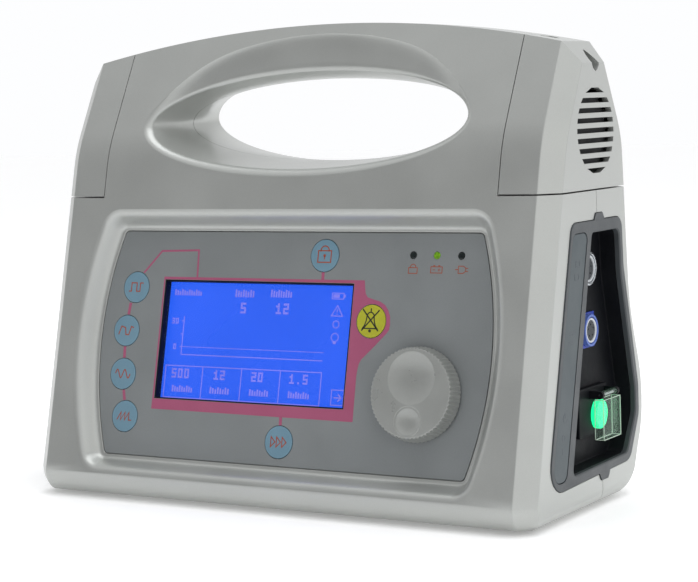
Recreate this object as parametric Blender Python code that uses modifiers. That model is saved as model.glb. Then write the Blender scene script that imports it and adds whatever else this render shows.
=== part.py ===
"""Portable lung ventilator with a carry handle, a recessed control panel and a bay in each side.

The model is in metres with +Z up. The front faces -Y and the connector bay faces +X. Sizes below
are in millimetres, and MM turns them into metres where a mesh is made. Body coordinates have y = 0
on the seam between the front and rear housings; the ventilator empty shifts the whole object so
that the origin is at the middle of its footprint box, on the floor.
"""

import math

import bmesh
import bpy
from mathutils import Matrix, Vector

MM = 0.001
GAP = 0.3

# Body. Depths are measured from the seam plane, heights from the floor.
HALF_WIDTH = 146.6
CORNER_X = 9.1
CORNER_Y = 8.6
FLOOR_CLEARANCE = 1.5
WALL = 3.0
SIDE_WALL = 5.0
PARTING_HEIGHT = 154.8
FRONT_AT_PARTING = 45.9
FRONT_SLOPE = 0.24
KINK_HEIGHT = 180.0
UPPER_SLOPE = 0.527
ROLL_HEIGHT = 13.4
BODY_TOP = 243.0
CAP_SEAM_X = 117.1
SHOULDER_HEIGHT = 226.1
SHOULDER_X = 137.7
BEVEL_HEIGHT = 215.5
HANDLE_TOP = 240.8
REAR_PROFILE = [
    (1.5, 30.0), (9.0, 44.0), (22.0, 51.5), (34.0, 56.8), (46.0, 58.4), (62.0, 56.8), (80.0, 50.5),
    (96.0, 46.0), (116.0, 43.9), (154.8, 41.5), (180.0, 39.85),
]

# Handle opening: a waist at the seam that flares to the front and the rear.
OPENING_HEIGHT = 192.0
WAIST = (90.0, 21.0)
FLARE = (96.0, 25.2)
SCOOP_RISE = 44.0
OPENING_POINTS = 44

# Control panel: its own frame, x to the right, y up along the face, z out of the face.
PANEL_TILT = math.atan(FRONT_SLOPE)
PANEL_DEPTH = 9.0
PANEL_HEIGHT = 79.5
PANEL_HALF_HEIGHT = 58.7
PANEL_SIDE_RADIUS = 186.0
PANEL_HALF_WIDTH = 116.0
PANEL_CORNER = 2.5
OVERLAY_THICKNESS = 1.5
POCKET_FLOOR = -1.8
POCKET_STEPS = [
    (0.5, POCKET_FLOOR), (0.5, 0.0), (3.9, 2.3), (7.6, 8.0), (11.0, 9.05), (11.6, 12.0),
]
POCKET_WALL_STEPS = [(3.0, -4.0), (13.0, 7.0)]
LCD_CENTRE = (-20.3, 2.4)
LCD_SIZE = (115.3, 62.1)
KEY_RADIUS = 8.1
KEY_CLEARANCE = 0.35
KEY_PROUD = 0.35
KEY_DEPTH = 3.2
KEYS = {
    "mode_key_1": (-96.4, 29.0),
    "mode_key_2": (-100.1, 5.9),
    "mode_key_3": (-99.6, -16.9),
    "mode_key_4": (-95.7, -39.0),
    "lock_key": (18.9, 47.1),
    "confirm_key": (1.6, -46.8),
    "alarm_key": (48.9, 15.1),
}
LAMPS = {"lock_lamp": 69.4, "battery_lamp": 82.4, "mains_lamp": 95.8}
LAMP_LEVEL = 47.9
LAMP_RADIUS = 1.75
KNOB_CENTRE = (79.0, -19.5)
KNOB_BASE_RADIUS = 23.2
KNOB_FACE_RADIUS = 21.8
KNOB_HEIGHT = 8.2
KNOB_STANDOFF = 0.9
KNOB_DISHES = [(7.2, 12.8, 2.6), (-13.7, 6.4, 1.6)]
SHAFT_RADIUS = 3.0
SHAFT_TIP = 5.2

# Side bays, as outlines in (y, z) with a corner radius at each point.
FRAME_OUTLINE = [
    (-29.0, 140.5, 6.0), (28.3, 140.5, 6.0), (29.5, 116.0, 30.0), (44.5, 55.0, 20.0),
    (44.7, 40.0, 12.0), (33.0, 18.0, 8.0), (-61.0, 15.5, 12.0),
]
BAY_OUTLINE = [
    (-6.8, 134.6, 3.0), (24.8, 134.6, 4.0), (26.0, 112.0, 30.0), (40.6, 53.0, 18.0),
    (40.6, 41.0, 12.0), (29.0, 22.0, 5.0), (-34.3, 21.0, 3.0),
]
STRIP_OUTLINE = [
    (-27.6, 135.2, 4.0), (-11.7, 135.2, 3.5), (-41.5, 20.4, 5.0), (-56.0, 20.4, 6.0),
]
FRAME_TAB = 10.0
FRAME_TAB_Y = 2.0
FRAME_TAB_EDGES = (16.8, 140.5)
FRAME_TAB_REACH = 3.2
FRAME_THICKNESS = 2.9
FRAME_PROUD = 0.6
TUB_WALL = 1.5
RIGHT_BAY_FLOOR = 136.0
LEFT_BAY_FLOOR = 124.6
SOCKET_HEIGHT = 2.5
DATA_SOCKET = (7.8, 116.0)
DATA_SOCKET_RADIUS = 8.4
DC_SOCKET = (6.5, 85.8)
DC_SOCKET_RADIUS = 7.9
DC_PLATE = 8.7
POD_LOW = (136.3, -8.0, 34.0)
POD_HIGH = (138.6, 24.0, 58.0)
BUTTON_CENTRE = (13.0, 43.7)
BUTTON_RADIUS = 7.3
BUTTON_FACE = 141.1
GUARD_LOW = (141.4, 3.4, 32.0)
GUARD_HIGH = (146.4, 23.8, 52.0)
GUARD_WALL = 1.2
HINGE_X = 144.2
HINGE_MIDDLE_Y = 13.6
HINGE_HEIGHT = 54.2
HINGE_PIN_RADIUS = 0.8
HINGE_LUG_RADIUS = 1.7
HINGE_LUG_HALF = 7.4

# Shoulder caps. The hollow is given as height, depth to the front and depth to the rear.
CAP_HOLLOW = [
    (140.0, 46.0, 40.0), (PARTING_HEIGHT, 42.5, 38.0), (KINK_HEIGHT, 36.4, 36.4), (204.5, 23.5, 23.5),
]
VENT_CENTRE = (1.0, 183.3)
VENT_RADIUS = 20.8
VENT_PITCH = 4.8
VENT_SLOT = 2.4
VENT_SLOTS = 9
# The strap channel follows an arc about STRAP_CENTRE. Each pair is its size at the top and at the mouth.
STRAP_CENTRE = (142.0, 238.5)
STRAP_MIDDLE = (20.6, 23.5)
STRAP_INWARD = (3.4, 7.1)
STRAP_OUTWARD = (3.4, 3.9)
STRAP_HALF_WIDTH = (4.4, 3.9)

# Fixings and feet.
SCREW_PLACES = [(-108.0, 11.0), (108.0, 11.0), (-108.0, 150.0), (108.0, 150.0)]
SCREW_RADIUS = 1.5
SCREW_HEAD_RADIUS = 3.2
SCREW_HEAD = 2.5
SCREW_LENGTH = 26.0
SCREW_SEAT = 12.0
BOSS_RADIUS = 5.2
FOOT_RADIUS = 7.0
FOOT_PLACES = [(-118.0, -58.0), (118.0, -58.0), (-118.0, 18.0), (118.0, 18.0)]
COVER_SIZE = (124.0, 62.0)
COVER_CENTRE_Y = -22.0

# Gas side, as places in (y, z) for the ports and corners in (x, y, z) for the mixing block.
OXYGEN_PORT = (12.5, 118.0)
OUTLET_PORT = (12.5, 66.0)
PRESSURE_PORT = (12.5, 38.0)
PORT_STEM = 7.0
BLOCK_LOW = (-96.0, 0.0, 50.0)
BLOCK_HIGH = (-46.0, 30.0, 84.0)

REAR_REACH = max(depth for _, depth in REAR_PROFILE)


def front_depth(height):
    """How far the front face stands out from the seam plane at this height."""
    if height > KINK_HEIGHT:
        return front_depth(KINK_HEIGHT) - UPPER_SLOPE * (height - KINK_HEIGHT)
    depth = FRONT_AT_PARTING + FRONT_SLOPE * (PARTING_HEIGHT - height)
    if height >= ROLL_HEIGHT:
        return depth
    drop = (ROLL_HEIGHT - height) / (ROLL_HEIGHT - FLOOR_CLEARANCE)
    return front_depth(ROLL_HEIGHT) - 9.0 * (1.0 - math.sqrt(max(0.0, 1.0 - drop * drop)))


def rear_depth(height):
    """How far the rear face stands out from the seam plane at this height."""
    if height > KINK_HEIGHT:
        return REAR_PROFILE[-1][1] - UPPER_SLOPE * (height - KINK_HEIGHT)
    for (low, near), (high, far) in zip(REAR_PROFILE, REAR_PROFILE[1:]):
        if height <= high:
            return near + (far - near) * (height - low) / (high - low)
    return REAR_PROFILE[-1][1]


PANEL_ORIGIN_Y = -front_depth(PANEL_HEIGHT) + PANEL_DEPTH / math.cos(PANEL_TILT)
KNOB_REACH = -(PANEL_ORIGIN_Y + KNOB_CENTRE[1] * math.sin(PANEL_TILT)) + (
    (KNOB_STANDOFF + KNOB_HEIGHT) * math.cos(PANEL_TILT) + KNOB_FACE_RADIUS * math.sin(PANEL_TILT)
)
FRONT_REACH = max(KNOB_REACH, front_depth(ROLL_HEIGHT))
SEAM_TO_MIDDLE = (FRONT_REACH - REAR_REACH) / 2.0


# ---------------------------------------------------------------- scene and materials

for old in list(bpy.data.objects):
    bpy.data.objects.remove(old, do_unlink=True)

PARTS = bpy.data.collections.new("ventilator")
CUTTERS = bpy.data.collections.new("ventilator_cutters")
bpy.context.scene.collection.children.link(PARTS)
bpy.context.scene.collection.children.link(CUTTERS)


def material(name, colour, roughness, metallic=0.0):
    made = bpy.data.materials.new(name)
    made.use_nodes = True
    shader = made.node_tree.nodes["Principled BSDF"]
    shader.inputs["Base Color"].default_value = (*colour, 1.0)
    shader.inputs["Roughness"].default_value = roughness
    shader.inputs["Metallic"].default_value = metallic
    return made


SILVER_PAINT = material("silver_paint", (0.42, 0.42, 0.40), 0.42, 0.35)
PANEL_GREY = material("panel_grey", (0.21, 0.22, 0.22), 0.5)
KEY_BLUE = material("key_blue", (0.16, 0.36, 0.50), 0.5)
KEY_YELLOW = material("key_yellow", (0.45, 0.42, 0.05), 0.5)
CLEAR_PLASTIC = material("clear_plastic", (0.80, 0.90, 0.85), 0.08)
LCD_BLUE = material("lcd_blue", (0.03, 0.08, 1.0), 0.3)
LAMP_DARK = material("lamp_dark", (0.02, 0.03, 0.03), 0.2)
LAMP_GREEN = material("lamp_green", (0.15, 0.35, 0.02), 0.2)
KNOB_GREY = material("knob_grey", (0.38, 0.38, 0.36), 0.35, 0.2)
CHARCOAL = material("charcoal", (0.06, 0.07, 0.07), 0.5)
BAY_BLACK = material("bay_black", (0.01, 0.012, 0.015), 0.4)
LABEL_GREY = material("label_grey", (0.22, 0.25, 0.27), 0.5)
SOCKET_METAL = material("socket_metal", (0.55, 0.55, 0.55), 0.3, 0.9)
SOCKET_BLUE = material("socket_blue", (0.02, 0.06, 0.45), 0.4)
BUTTON_GREEN = material("button_green", (0.0, 0.85, 0.35), 0.3)
CIRCUIT_GREEN = material("circuit_green", (0.02, 0.18, 0.06), 0.5)
STEEL = material("steel", (0.55, 0.55, 0.56), 0.35, 1.0)
ALUMINIUM = material("aluminium", (0.70, 0.70, 0.72), 0.4, 1.0)
BRASS = material("brass", (0.70, 0.52, 0.22), 0.3, 1.0)
RUBBER = material("rubber", (0.02, 0.02, 0.02), 0.8)
HOSE_CLEAR = material("hose_clear", (0.60, 0.65, 0.62), 0.3)
FILTER_GREY = material("filter_grey", (0.03, 0.03, 0.035), 0.9)
BATTERY_BLUE = material("battery_blue", (0.04, 0.08, 0.20), 0.5)


# ---------------------------------------------------------------- modelling helpers


def empty(name, location, rotation_x=0.0, parent=None):
    made = bpy.data.objects.new(name, None)
    made.location = Vector(location) * MM
    made.rotation_euler.x = rotation_x
    made.parent = parent
    PARTS.objects.link(made)
    return made


VENTILATOR = empty("ventilator", (0.0, SEAM_TO_MIDDLE, 0.0))
PANEL = empty(
    "panel_plane", (0.0, PANEL_ORIGIN_Y, PANEL_HEIGHT), math.pi / 2 - PANEL_TILT, VENTILATOR
)

# Turns that lay a shape made along +Z down along another direction.
TURNS = {
    "+Z": Matrix.Identity(4),
    "-Z": Matrix.Rotation(math.pi, 4, "X"),
    "+X": Matrix.Rotation(math.pi / 2, 4, "Y"),
    "-X": Matrix.Rotation(-math.pi / 2, 4, "Y"),
    "+Y": Matrix.Rotation(-math.pi / 2, 4, "X"),
    "-Y": Matrix.Rotation(math.pi / 2, 4, "X"),
}


def place(name, shape, look=None, at=(0.0, 0.0, 0.0), along="+Z", parent=VENTILATOR):
    """Make an object of a bmesh in millimetres. With no look it is a cutter."""
    bmesh.ops.scale(shape, vec=(MM, MM, MM), verts=shape.verts)
    bmesh.ops.recalc_face_normals(shape, faces=shape.faces)
    mesh = bpy.data.meshes.new(name)
    shape.to_mesh(mesh)
    shape.free()
    made = bpy.data.objects.new(name, mesh)
    made.matrix_local = Matrix.Translation(Vector(at) * MM) @ TURNS[along]
    made.parent = parent
    if look is None:
        made.hide_render = True
        made.display_type = "WIRE"
        CUTTERS.objects.link(made)
        return made
    mesh.materials.append(look)
    mesh.shade_smooth()
    mesh.set_sharp_from_angle(angle=math.radians(35))
    PARTS.objects.link(made)
    return made


def box(low, high):
    shape = bmesh.new()
    bmesh.ops.create_cube(shape, size=1.0)
    size = [top - bottom for bottom, top in zip(low, high)]
    centre = [(top + bottom) / 2 for bottom, top in zip(low, high)]
    bmesh.ops.scale(shape, vec=size, verts=shape.verts)
    bmesh.ops.translate(shape, vec=centre, verts=shape.verts)
    return shape


def rod(radius, start, end, segments=24, end_radius=None):
    """A cylinder or cone along +Z from start to end."""
    shape = bmesh.new()
    top = radius if end_radius is None else end_radius
    bmesh.ops.create_cone(
        shape, cap_ends=True, segments=segments, radius1=radius, radius2=top, depth=end - start
    )
    bmesh.ops.translate(shape, vec=(0.0, 0.0, (start + end) / 2), verts=shape.verts)
    return shape


def slab(outline, start, end):
    """A flat outline in (x, y), extruded along +Z from start to end."""
    shape = bmesh.new()
    face = shape.faces.new([shape.verts.new((x, y, start)) for x, y in outline])
    grown = bmesh.ops.extrude_face_region(shape, geom=[face])
    moved = [item for item in grown["geom"] if isinstance(item, bmesh.types.BMVert)]
    bmesh.ops.translate(shape, vec=(0.0, 0.0, end - start), verts=moved)
    return shape


def side_slab(outline, start, end):
    """An outline in body (y, z), extruded along +X from start to end."""
    shape = slab(outline, start, end)
    for vertex in shape.verts:
        vertex.co = Vector((vertex.co.z, vertex.co.x, vertex.co.y))
    return shape


def front_slab(outline, start, end):
    """An outline in body (x, z), extruded along +Y from start to end."""
    shape = slab(outline, start, end)
    for vertex in shape.verts:
        vertex.co = Vector((vertex.co.x, vertex.co.z, vertex.co.y))
    return shape


def loft(rings):
    """A solid skinned over rings that all have the same number of points."""
    shape = bmesh.new()
    rows = [[shape.verts.new(point) for point in ring] for ring in rings]
    for lower, upper in zip(rows, rows[1:]):
        for index, corner in enumerate(lower):
            following = (index + 1) % len(lower)
            shape.faces.new((corner, lower[following], upper[following], upper[index]))
    shape.faces.new(rows[0])
    shape.faces.new(rows[-1])
    return shape


def gathered(shapes):
    """Several shapes in one bmesh, for a cutter made of separate pieces."""
    whole = bmesh.new()
    for shape in shapes:
        mesh = bpy.data.meshes.new("gathered")
        bmesh.ops.recalc_face_normals(shape, faces=shape.faces)
        shape.to_mesh(mesh)
        shape.free()
        whole.from_mesh(mesh)
        bpy.data.meshes.remove(mesh)
    return whole


def moved(shape, offset):
    bmesh.ops.translate(shape, vec=offset, verts=shape.verts)
    return shape


def rounded(corners, steps=4):
    """An outline through (u, v, radius) corners, each one rounded with an arc."""
    outline = []
    for index, (u, v, radius) in enumerate(corners):
        here = Vector((u, v))
        before = (Vector(corners[index - 1][:2]) - here).normalized()
        after = (Vector(corners[(index + 1) % len(corners)][:2]) - here).normalized()
        half = before.angle(after) / 2
        centre = here + (before + after).normalized() * (radius / math.sin(half))
        first = here + before * (radius / math.tan(half)) - centre
        last = here + after * (radius / math.tan(half)) - centre
        sweep = first.angle_signed(last)
        for step in range(steps + 1):
            turn = Matrix.Rotation(-sweep * step / steps, 2)
            outline.append(tuple(centre + turn @ first))
    return outline


def grown(outline, distance):
    """The outline moved outwards by a distance, with mitred corners."""
    points = [Vector(point) for point in outline]
    area = sum(a.x * b.y - b.x * a.y for a, b in zip(points, points[1:] + points[:1]))
    side = 1.0 if area > 0 else -1.0
    result = []
    for index, point in enumerate(points):
        into = (point - points[index - 1]).normalized()
        out = (points[(index + 1) % len(points)] - point).normalized()
        normal_in = Vector((into.y, -into.x)) * side
        normal_out = Vector((out.y, -out.x)) * side
        mitre = (normal_in + normal_out).normalized()
        result.append(tuple(point + mitre * (distance / max(0.5, mitre.dot(normal_in)))))
    return result


def boolean(target, other, operation):
    modifier = target.modifiers.new(other.name, "BOOLEAN")
    modifier.operation = operation
    modifier.object = other
    return target


def cut(target, *cutters):
    for cutter in cutters:
        boolean(target, cutter, "DIFFERENCE")
    return target


def join(target, *others):
    for other in others:
        boolean(target, other, "UNION")
    return target


def keep(target, *others):
    for other in others:
        boolean(target, other, "INTERSECT")
    return target


# ---------------------------------------------------------------- body shape

BODY_HEIGHTS = (
    [FLOOR_CLEARANCE, 3.0, 5.5, 9.0, ROLL_HEIGHT]
    + [height for height, _ in REAR_PROFILE[2:]]
    + [232.0, BODY_TOP]
)


def body_form(sides, inset=0.0, side_inset=0.0, seam=0.0):
    """The body form, or the half of it on one side of the seam (-1 front, +1 rear), less the insets."""
    rings = []
    for height in BODY_HEIGHTS:
        width = HALF_WIDTH - side_inset
        corner_x = CORNER_X - inset * 0.6
        corner_y = CORNER_Y - inset * 0.6
        ring = []
        for side in sides:
            depth = (front_depth(height) if side < 0 else rear_depth(height)) - inset
            flank = [(width, max(0.4, depth - corner_y)), (width - corner_x, depth)]
            flank += [(-x, y) for x, y in flank[::-1]]
            if len(sides) == 1:
                flank = [(width, seam)] + flank + [(-width, seam)]
            ring += [(-side * x, side * y) for x, y in flank]
        rings.append([(x, y, height) for x, y in ring])
    return loft(rings)


def arch(half_chord, steps, drop=0.0):
    """Points along the handle's arched top, from -x to +x."""
    sagitta = HANDLE_TOP - SHOULDER_HEIGHT
    radius = (SHOULDER_X**2 + sagitta**2) / (2 * sagitta)
    points = []
    for step in range(steps + 1):
        x = half_chord * (2 * step / steps - 1)
        points.append((x, HANDLE_TOP - radius + math.sqrt(radius**2 - x * x) - drop))
    return points


def housing_outline(inset):
    """Front view of the housings: the full width below the parting line, the arch between the caps."""
    seam = CAP_SEAM_X - GAP / 2 - inset
    shelf = PARTING_HEIGHT - GAP / 2 - inset
    low = FLOOR_CLEARANCE + inset
    edge = HALF_WIDTH + 3.0
    return (
        [(-edge, shelf), (-edge, low + 6.0), (4.5 - HALF_WIDTH, low)]
        + [(HALF_WIDTH - 4.5, low), (edge, low + 6.0), (edge, shelf), (seam, shelf)]
        + arch(seam, 16, inset)[::-1]
        + [(-seam, shelf)]
    )


def cap_outline():
    """Front view of the right shoulder cap."""
    seam = CAP_SEAM_X + GAP / 2
    top = arch(seam, 1)[1]
    shelf = PARTING_HEIGHT + GAP / 2
    edge = HALF_WIDTH + 3.0
    bevel_slope = (SHOULDER_HEIGHT - BEVEL_HEIGHT) / (HALF_WIDTH - SHOULDER_X)
    past_edge = BEVEL_HEIGHT - bevel_slope * (edge - HALF_WIDTH)
    return [(seam, shelf), (edge, shelf), (edge, past_edge), (SHOULDER_X, SHOULDER_HEIGHT), top]


def opening_ring(side, width, below, above, inward=None, rise=0.0):
    """One ring of the handle opening, at a depth under the face, or just past the seam without one.

    The top half can reach higher than the bottom half, and sink further by rise, for the finger scoop.
    """
    ring = []
    for index in range(OPENING_POINTS):
        angle = 2 * math.pi * index / OPENING_POINTS
        up = math.sin(angle)
        height = OPENING_HEIGHT + up * (above if up > 0 else below)
        face = front_depth(height) if side < 0 else rear_depth(height)
        y = -1.5 if inward is None else face - inward - rise * max(0.0, up)
        ring.append((width * math.cos(angle), side * y, height))
    return ring


def handle_opening(side, extra):
    """The handle opening on one side of the seam, or with extra the solid that leaves its wall."""
    flare_x, flare_z = (size + extra for size in FLARE)
    waist_x, waist_z = (size + extra for size in WAIST)
    rings = [
        opening_ring(side, flare_x + 2.0, flare_z + 2.0, SCOOP_RISE + extra + 3.0, -8.0),
        opening_ring(side, flare_x, flare_z, SCOOP_RISE + extra, 0.4 + extra / 2),
        opening_ring(side, waist_x + 3.0, waist_z + 1.6, waist_z + 6.5, 3.5 + extra, 2.0),
        opening_ring(side, waist_x + 1.0, waist_z + 0.4, waist_z + 2.0, 8.5 + extra),
        opening_ring(side, waist_x, waist_z, waist_z),
    ]
    return loft(rings)


def panel_ring(offset, level):
    """The control panel's outline, moved out by offset, at a level along the panel's normal."""
    half_height = PANEL_HALF_HEIGHT + offset
    corner = PANEL_CORNER + offset
    side_radius = PANEL_SIDE_RADIUS + offset
    side_centre = PANEL_HALF_WIDTH - PANEL_SIDE_RADIUS
    rise = half_height - corner
    run = math.sqrt((side_radius - corner) ** 2 - rise**2)
    split = math.atan2(rise, run)
    quarter = []
    for step in range(5):
        angle = split * step / 4
        quarter.append((side_centre + side_radius * math.cos(angle), side_radius * math.sin(angle)))
    for step in range(1, 5):
        angle = split + (math.pi / 2 - split) * step / 4
        quarter.append((side_centre + run + corner * math.cos(angle), rise + corner * math.sin(angle)))
    upper = quarter + [(-x, y) for x, y in quarter[::-1]]
    lower = [(-x, -y) for x, y in upper[1:-1]]
    return [(x, y, level) for x, y in upper + lower]


def panel_loft(steps):
    return loft([panel_ring(offset, level) for offset, level in steps])


def bay_shapes(outline, distance=0.0, steps=4):
    return grown(rounded(outline, steps), distance)


def frame_outline(distance=0.0):
    """The bay frame's outer outline with the small tab at the top and at the bottom of the seam."""
    return grown(rounded(FRAME_OUTLINE), distance)


def frame_tabs(start, end, extra):
    """The two tabs of a bay frame, on the seam above and below it."""
    half = FRAME_TAB / 2 + extra
    reach = FRAME_TAB_REACH + extra
    lower, upper = FRAME_TAB_EDGES
    shapes = []
    for low, high in ((upper - 3.0, upper + reach), (lower - reach, lower + 3.0)):
        shapes.append(box((start, FRAME_TAB_Y - half, low), (end, FRAME_TAB_Y + half, high)))
    return shapes


# ---------------------------------------------------------------- housings


def bay_cutters(side):
    """What both housings lose to the bay on one side: the frame's seat and the hole for the tub."""
    seat_floor = HALF_WIDTH + FRAME_PROUD - FRAME_THICKNESS - GAP
    name = "right" if side > 0 else "left"
    seat = side_slab(frame_outline(GAP), seat_floor, HALF_WIDTH + 5.0)
    tabs = frame_tabs(seat_floor, HALF_WIDTH + 5.0, GAP)
    hole = side_slab(bay_shapes(BAY_OUTLINE, TUB_WALL + GAP), HALF_WIDTH - 20.0, HALF_WIDTH + 5.0)
    cutters = []
    for part, shape in (("seat", seat), ("top_tab", tabs[0]), ("bottom_tab", tabs[1]), ("hole", hole)):
        if side < 0:
            bmesh.ops.scale(shape, vec=(-1.0, 1.0, 1.0), verts=shape.verts)
        cutters.append(place(f"{name}_bay_{part}_cutter", shape))
    return cutters


def screw_bosses(side):
    """Four posts that carry the housing screws, from the seam to the wall."""
    posts = []
    for x, height in SCREW_PLACES:
        reach = (front_depth(height) if side < 0 else rear_depth(height)) - 1.5
        post = rod(BOSS_RADIUS, GAP / 2, reach, 16)
        bmesh.ops.transform(post, matrix=TURNS["-Y" if side < 0 else "+Y"], verts=post.verts)
        posts.append(moved(post, (x, 0.0, height)))
    return posts


def screw_holes(side):
    """Clearance holes for the screw shanks, through the posts and across the seam."""
    start, end = (SCREW_SEAT - SCREW_LENGTH - 1.0, 5.0) if side < 0 else (-5.0, SCREW_SEAT + 1.0)
    return screw_bores(SCREW_RADIUS + 0.1, start, end, 12)


def screw_bores(radius, start, end, segments):
    """One bore along +Y at each screw, from start to end."""
    bores = []
    for x, height in SCREW_PLACES:
        bore = rod(radius, start, end, segments)
        bmesh.ops.transform(bore, matrix=TURNS["+Y"], verts=bore.verts)
        bores.append(moved(bore, (x, 0.0, height)))
    return bores


def housing(name, side, bays):
    """One half of the case: a hollow shell with the handle opening, bay holes and screw posts."""
    made = place(name, body_form([side], seam=GAP / 2), SILVER_PAINT)
    keep(made, place(f"{name}_outline", front_slab(housing_outline(0.0), -90.0, 90.0)))
    hollow = place(f"{name}_hollow", body_form([side], WALL, SIDE_WALL, -5.0))
    keep(hollow, place(f"{name}_hollow_outline", front_slab(housing_outline(WALL), -90.0, 90.0)))
    cut(hollow, place(f"{name}_opening_wall", handle_opening(side, WALL)))
    posts = place(f"{name}_posts", gathered(screw_bosses(side)))
    cut(hollow, posts)
    if side < 0:
        cut(hollow, place("pocket_wall", panel_loft(POCKET_WALL_STEPS), parent=PANEL))
    cut(made, hollow, place(f"{name}_opening", handle_opening(side, 0.0)))
    cut(made, *bays, place(f"{name}_screw_holes", gathered(screw_holes(side))))
    if side > 0:
        heads = screw_bores(SCREW_HEAD_RADIUS + 0.3, SCREW_SEAT, 70.0, 16)
        cut(made, place(f"{name}_screw_heads", gathered(heads)))
    return made


def panel_holes():
    """Holes through the overlay and the pocket floor for the display, keys, lamps and knob shaft."""
    half_x, half_y = LCD_SIZE[0] / 2, LCD_SIZE[1] / 2
    window = box((-half_x, -half_y, -8.0), (half_x, half_y, 6.0))
    shapes = [moved(window, (*LCD_CENTRE, 0.0))]
    for x, y in KEYS.values():
        shapes.append(moved(rod(KEY_RADIUS + KEY_CLEARANCE, -8.0, 6.0), (x, y, 0.0)))
    for x in LAMPS.values():
        shapes.append(moved(rod(LAMP_RADIUS + GAP, -8.0, 6.0, 12), (x, LAMP_LEVEL, 0.0)))
    shapes.append(moved(rod(SHAFT_RADIUS + GAP, -8.0, 6.0, 16), (*KNOB_CENTRE, 0.0)))
    return place("panel_holes", gathered(shapes), parent=PANEL)


BAY_CUTTERS = bay_cutters(1) + bay_cutters(-1)
PANEL_HOLES = panel_holes()
SHELF_HOLES = place(
    "shelf_holes",
    gathered([box((x - 9.0, -16.0, 148.0), (x + 9.0, 16.0, 158.0)) for x in (-131.0, 131.0)]),
)

front_housing = housing("front_housing", -1, BAY_CUTTERS)
cut(front_housing, place("panel_pocket", panel_loft(POCKET_STEPS), parent=PANEL), PANEL_HOLES)
cut(front_housing, SHELF_HOLES)

rear_housing = housing("rear_housing", 1, BAY_CUTTERS)
cut(rear_housing, SHELF_HOLES)


def battery_cover():
    """A flat cover let into the underside; the housings lose its seat and the way in above it."""
    half_x, half_y = COVER_SIZE[0] / 2, COVER_SIZE[1] / 2
    centre = (0.0, COVER_CENTRE_Y, 0.0)
    plate = box((-half_x, -half_y, FLOOR_CLEARANCE), (half_x, half_y, FLOOR_CLEARANCE + 1.7))
    place("battery_cover", moved(plate, centre), SILVER_PAINT)
    seat = box((-half_x - GAP, -half_y - GAP, -2.0), (half_x + GAP, half_y + GAP, FLOOR_CLEARANCE + 2.0))
    way_in = box((-half_x + 4.0, -half_y + 4.0, -2.0), (half_x - 4.0, half_y - 4.0, 8.0))
    seat_cutter = place("cover_seat", moved(seat, centre))
    way_cutter = place("cover_way_in", moved(way_in, centre))
    cut(front_housing, seat_cutter, way_cutter)
    cut(rear_housing, seat_cutter, way_cutter)


def feet():
    """Four rubber feet pressed into shallow seats in the underside."""
    seats = []
    for number, (x, y) in enumerate(FOOT_PLACES, start=1):
        foot = rod(FOOT_RADIUS - 0.8, 0.0, FLOOR_CLEARANCE + 1.2, 20, FOOT_RADIUS)
        place(f"foot_{number}", foot, RUBBER, (x, y, 0.0))
        seats.append(moved(rod(FOOT_RADIUS + GAP, -2.0, FLOOR_CLEARANCE + 1.5, 20), (x, y, 0.0)))
    seat_cutter = place("foot_seats", gathered(seats))
    cut(front_housing, seat_cutter)
    cut(rear_housing, seat_cutter)


battery_cover()
feet()


# ---------------------------------------------------------------- shoulder caps


def vent_slots():
    """Louvre slots in the cap's outer wall, each one ended by the vent's circle."""
    y, middle = VENT_CENTRE
    shapes = []
    for index in range(VENT_SLOTS):
        offset = (index - (VENT_SLOTS - 1) / 2) * VENT_PITCH
        edges = []
        for edge in (offset - VENT_SLOT / 2, offset + VENT_SLOT / 2):
            half = math.sqrt(VENT_RADIUS**2 - edge**2)
            edges.append((half, middle + edge))
        (low_half, low), (high_half, high) = edges
        outline = [(y - low_half, low), (y + low_half, low)]
        outline += [(y + high_half, high), (y - high_half, high)]
        shapes.append(side_slab(outline, HALF_WIDTH - 8.0, HALF_WIDTH + 5.0))
    return gathered(shapes)


def strap_slot(points=12, sections=11):
    """A curved channel from the top of the shoulder to a leaf-shaped mouth on its corner."""
    rings = []
    for section in range(sections):
        turn = 120.0 * section / (sections - 1)
        share = min(1.0, turn / 70.0)
        middle, inward, outward, half = (
            first + (last - first) * share
            for first, last in (STRAP_MIDDLE, STRAP_INWARD, STRAP_OUTWARD, STRAP_HALF_WIDTH)
        )
        angle = math.radians(180.0 + turn)
        ring = []
        for step in range(points):
            around = 2.0 * math.pi * (step + 0.5) / points
            along, across = math.cos(around), math.sin(around)
            radius = middle - along * (inward if along > 0 else outward)
            y = share * (2.4 - 1.7 * max(0.0, along)) + half * across * abs(across) ** 0.6
            ring.append((
                STRAP_CENTRE[0] + radius * math.cos(angle), y,
                STRAP_CENTRE[1] + radius * math.sin(angle),
            ))
        rings.append(ring)
    return loft(rings)


def shoulder_cap(name, side):
    """A hollow end cap, open below, with louvres and a strap slot."""
    handed = Matrix.Diagonal((side, 1.0, 1.0, 1.0))
    shapes = {
        "body": body_form([-1, 1]),
        "outline": front_slab(cap_outline(), -90.0, 90.0),
        "louvres": vent_slots(),
        "strap": strap_slot(),
    }
    low_x, high_x = CAP_SEAM_X + GAP + WALL, HALF_WIDTH - WALL
    rings = []
    for height, front, back in CAP_HOLLOW:
        ring = [(low_x, -front), (high_x - 6.0, -front), (high_x, 6.0 - front)]
        ring += [(high_x, back - 6.0), (high_x - 6.0, back), (low_x, back)]
        rings.append([(x, y, height) for x, y in ring])
    shapes["hollow"] = loft(rings)
    placed = {}
    for part, shape in shapes.items():
        bmesh.ops.transform(shape, matrix=handed, verts=shape.verts)
        look = SILVER_PAINT if part == "body" else None
        placed[part] = place(name if look else f"{name}_{part}", shape, look)
    keep(placed["body"], placed["outline"])
    return cut(placed["body"], placed["hollow"], placed["louvres"], placed["strap"])


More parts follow.
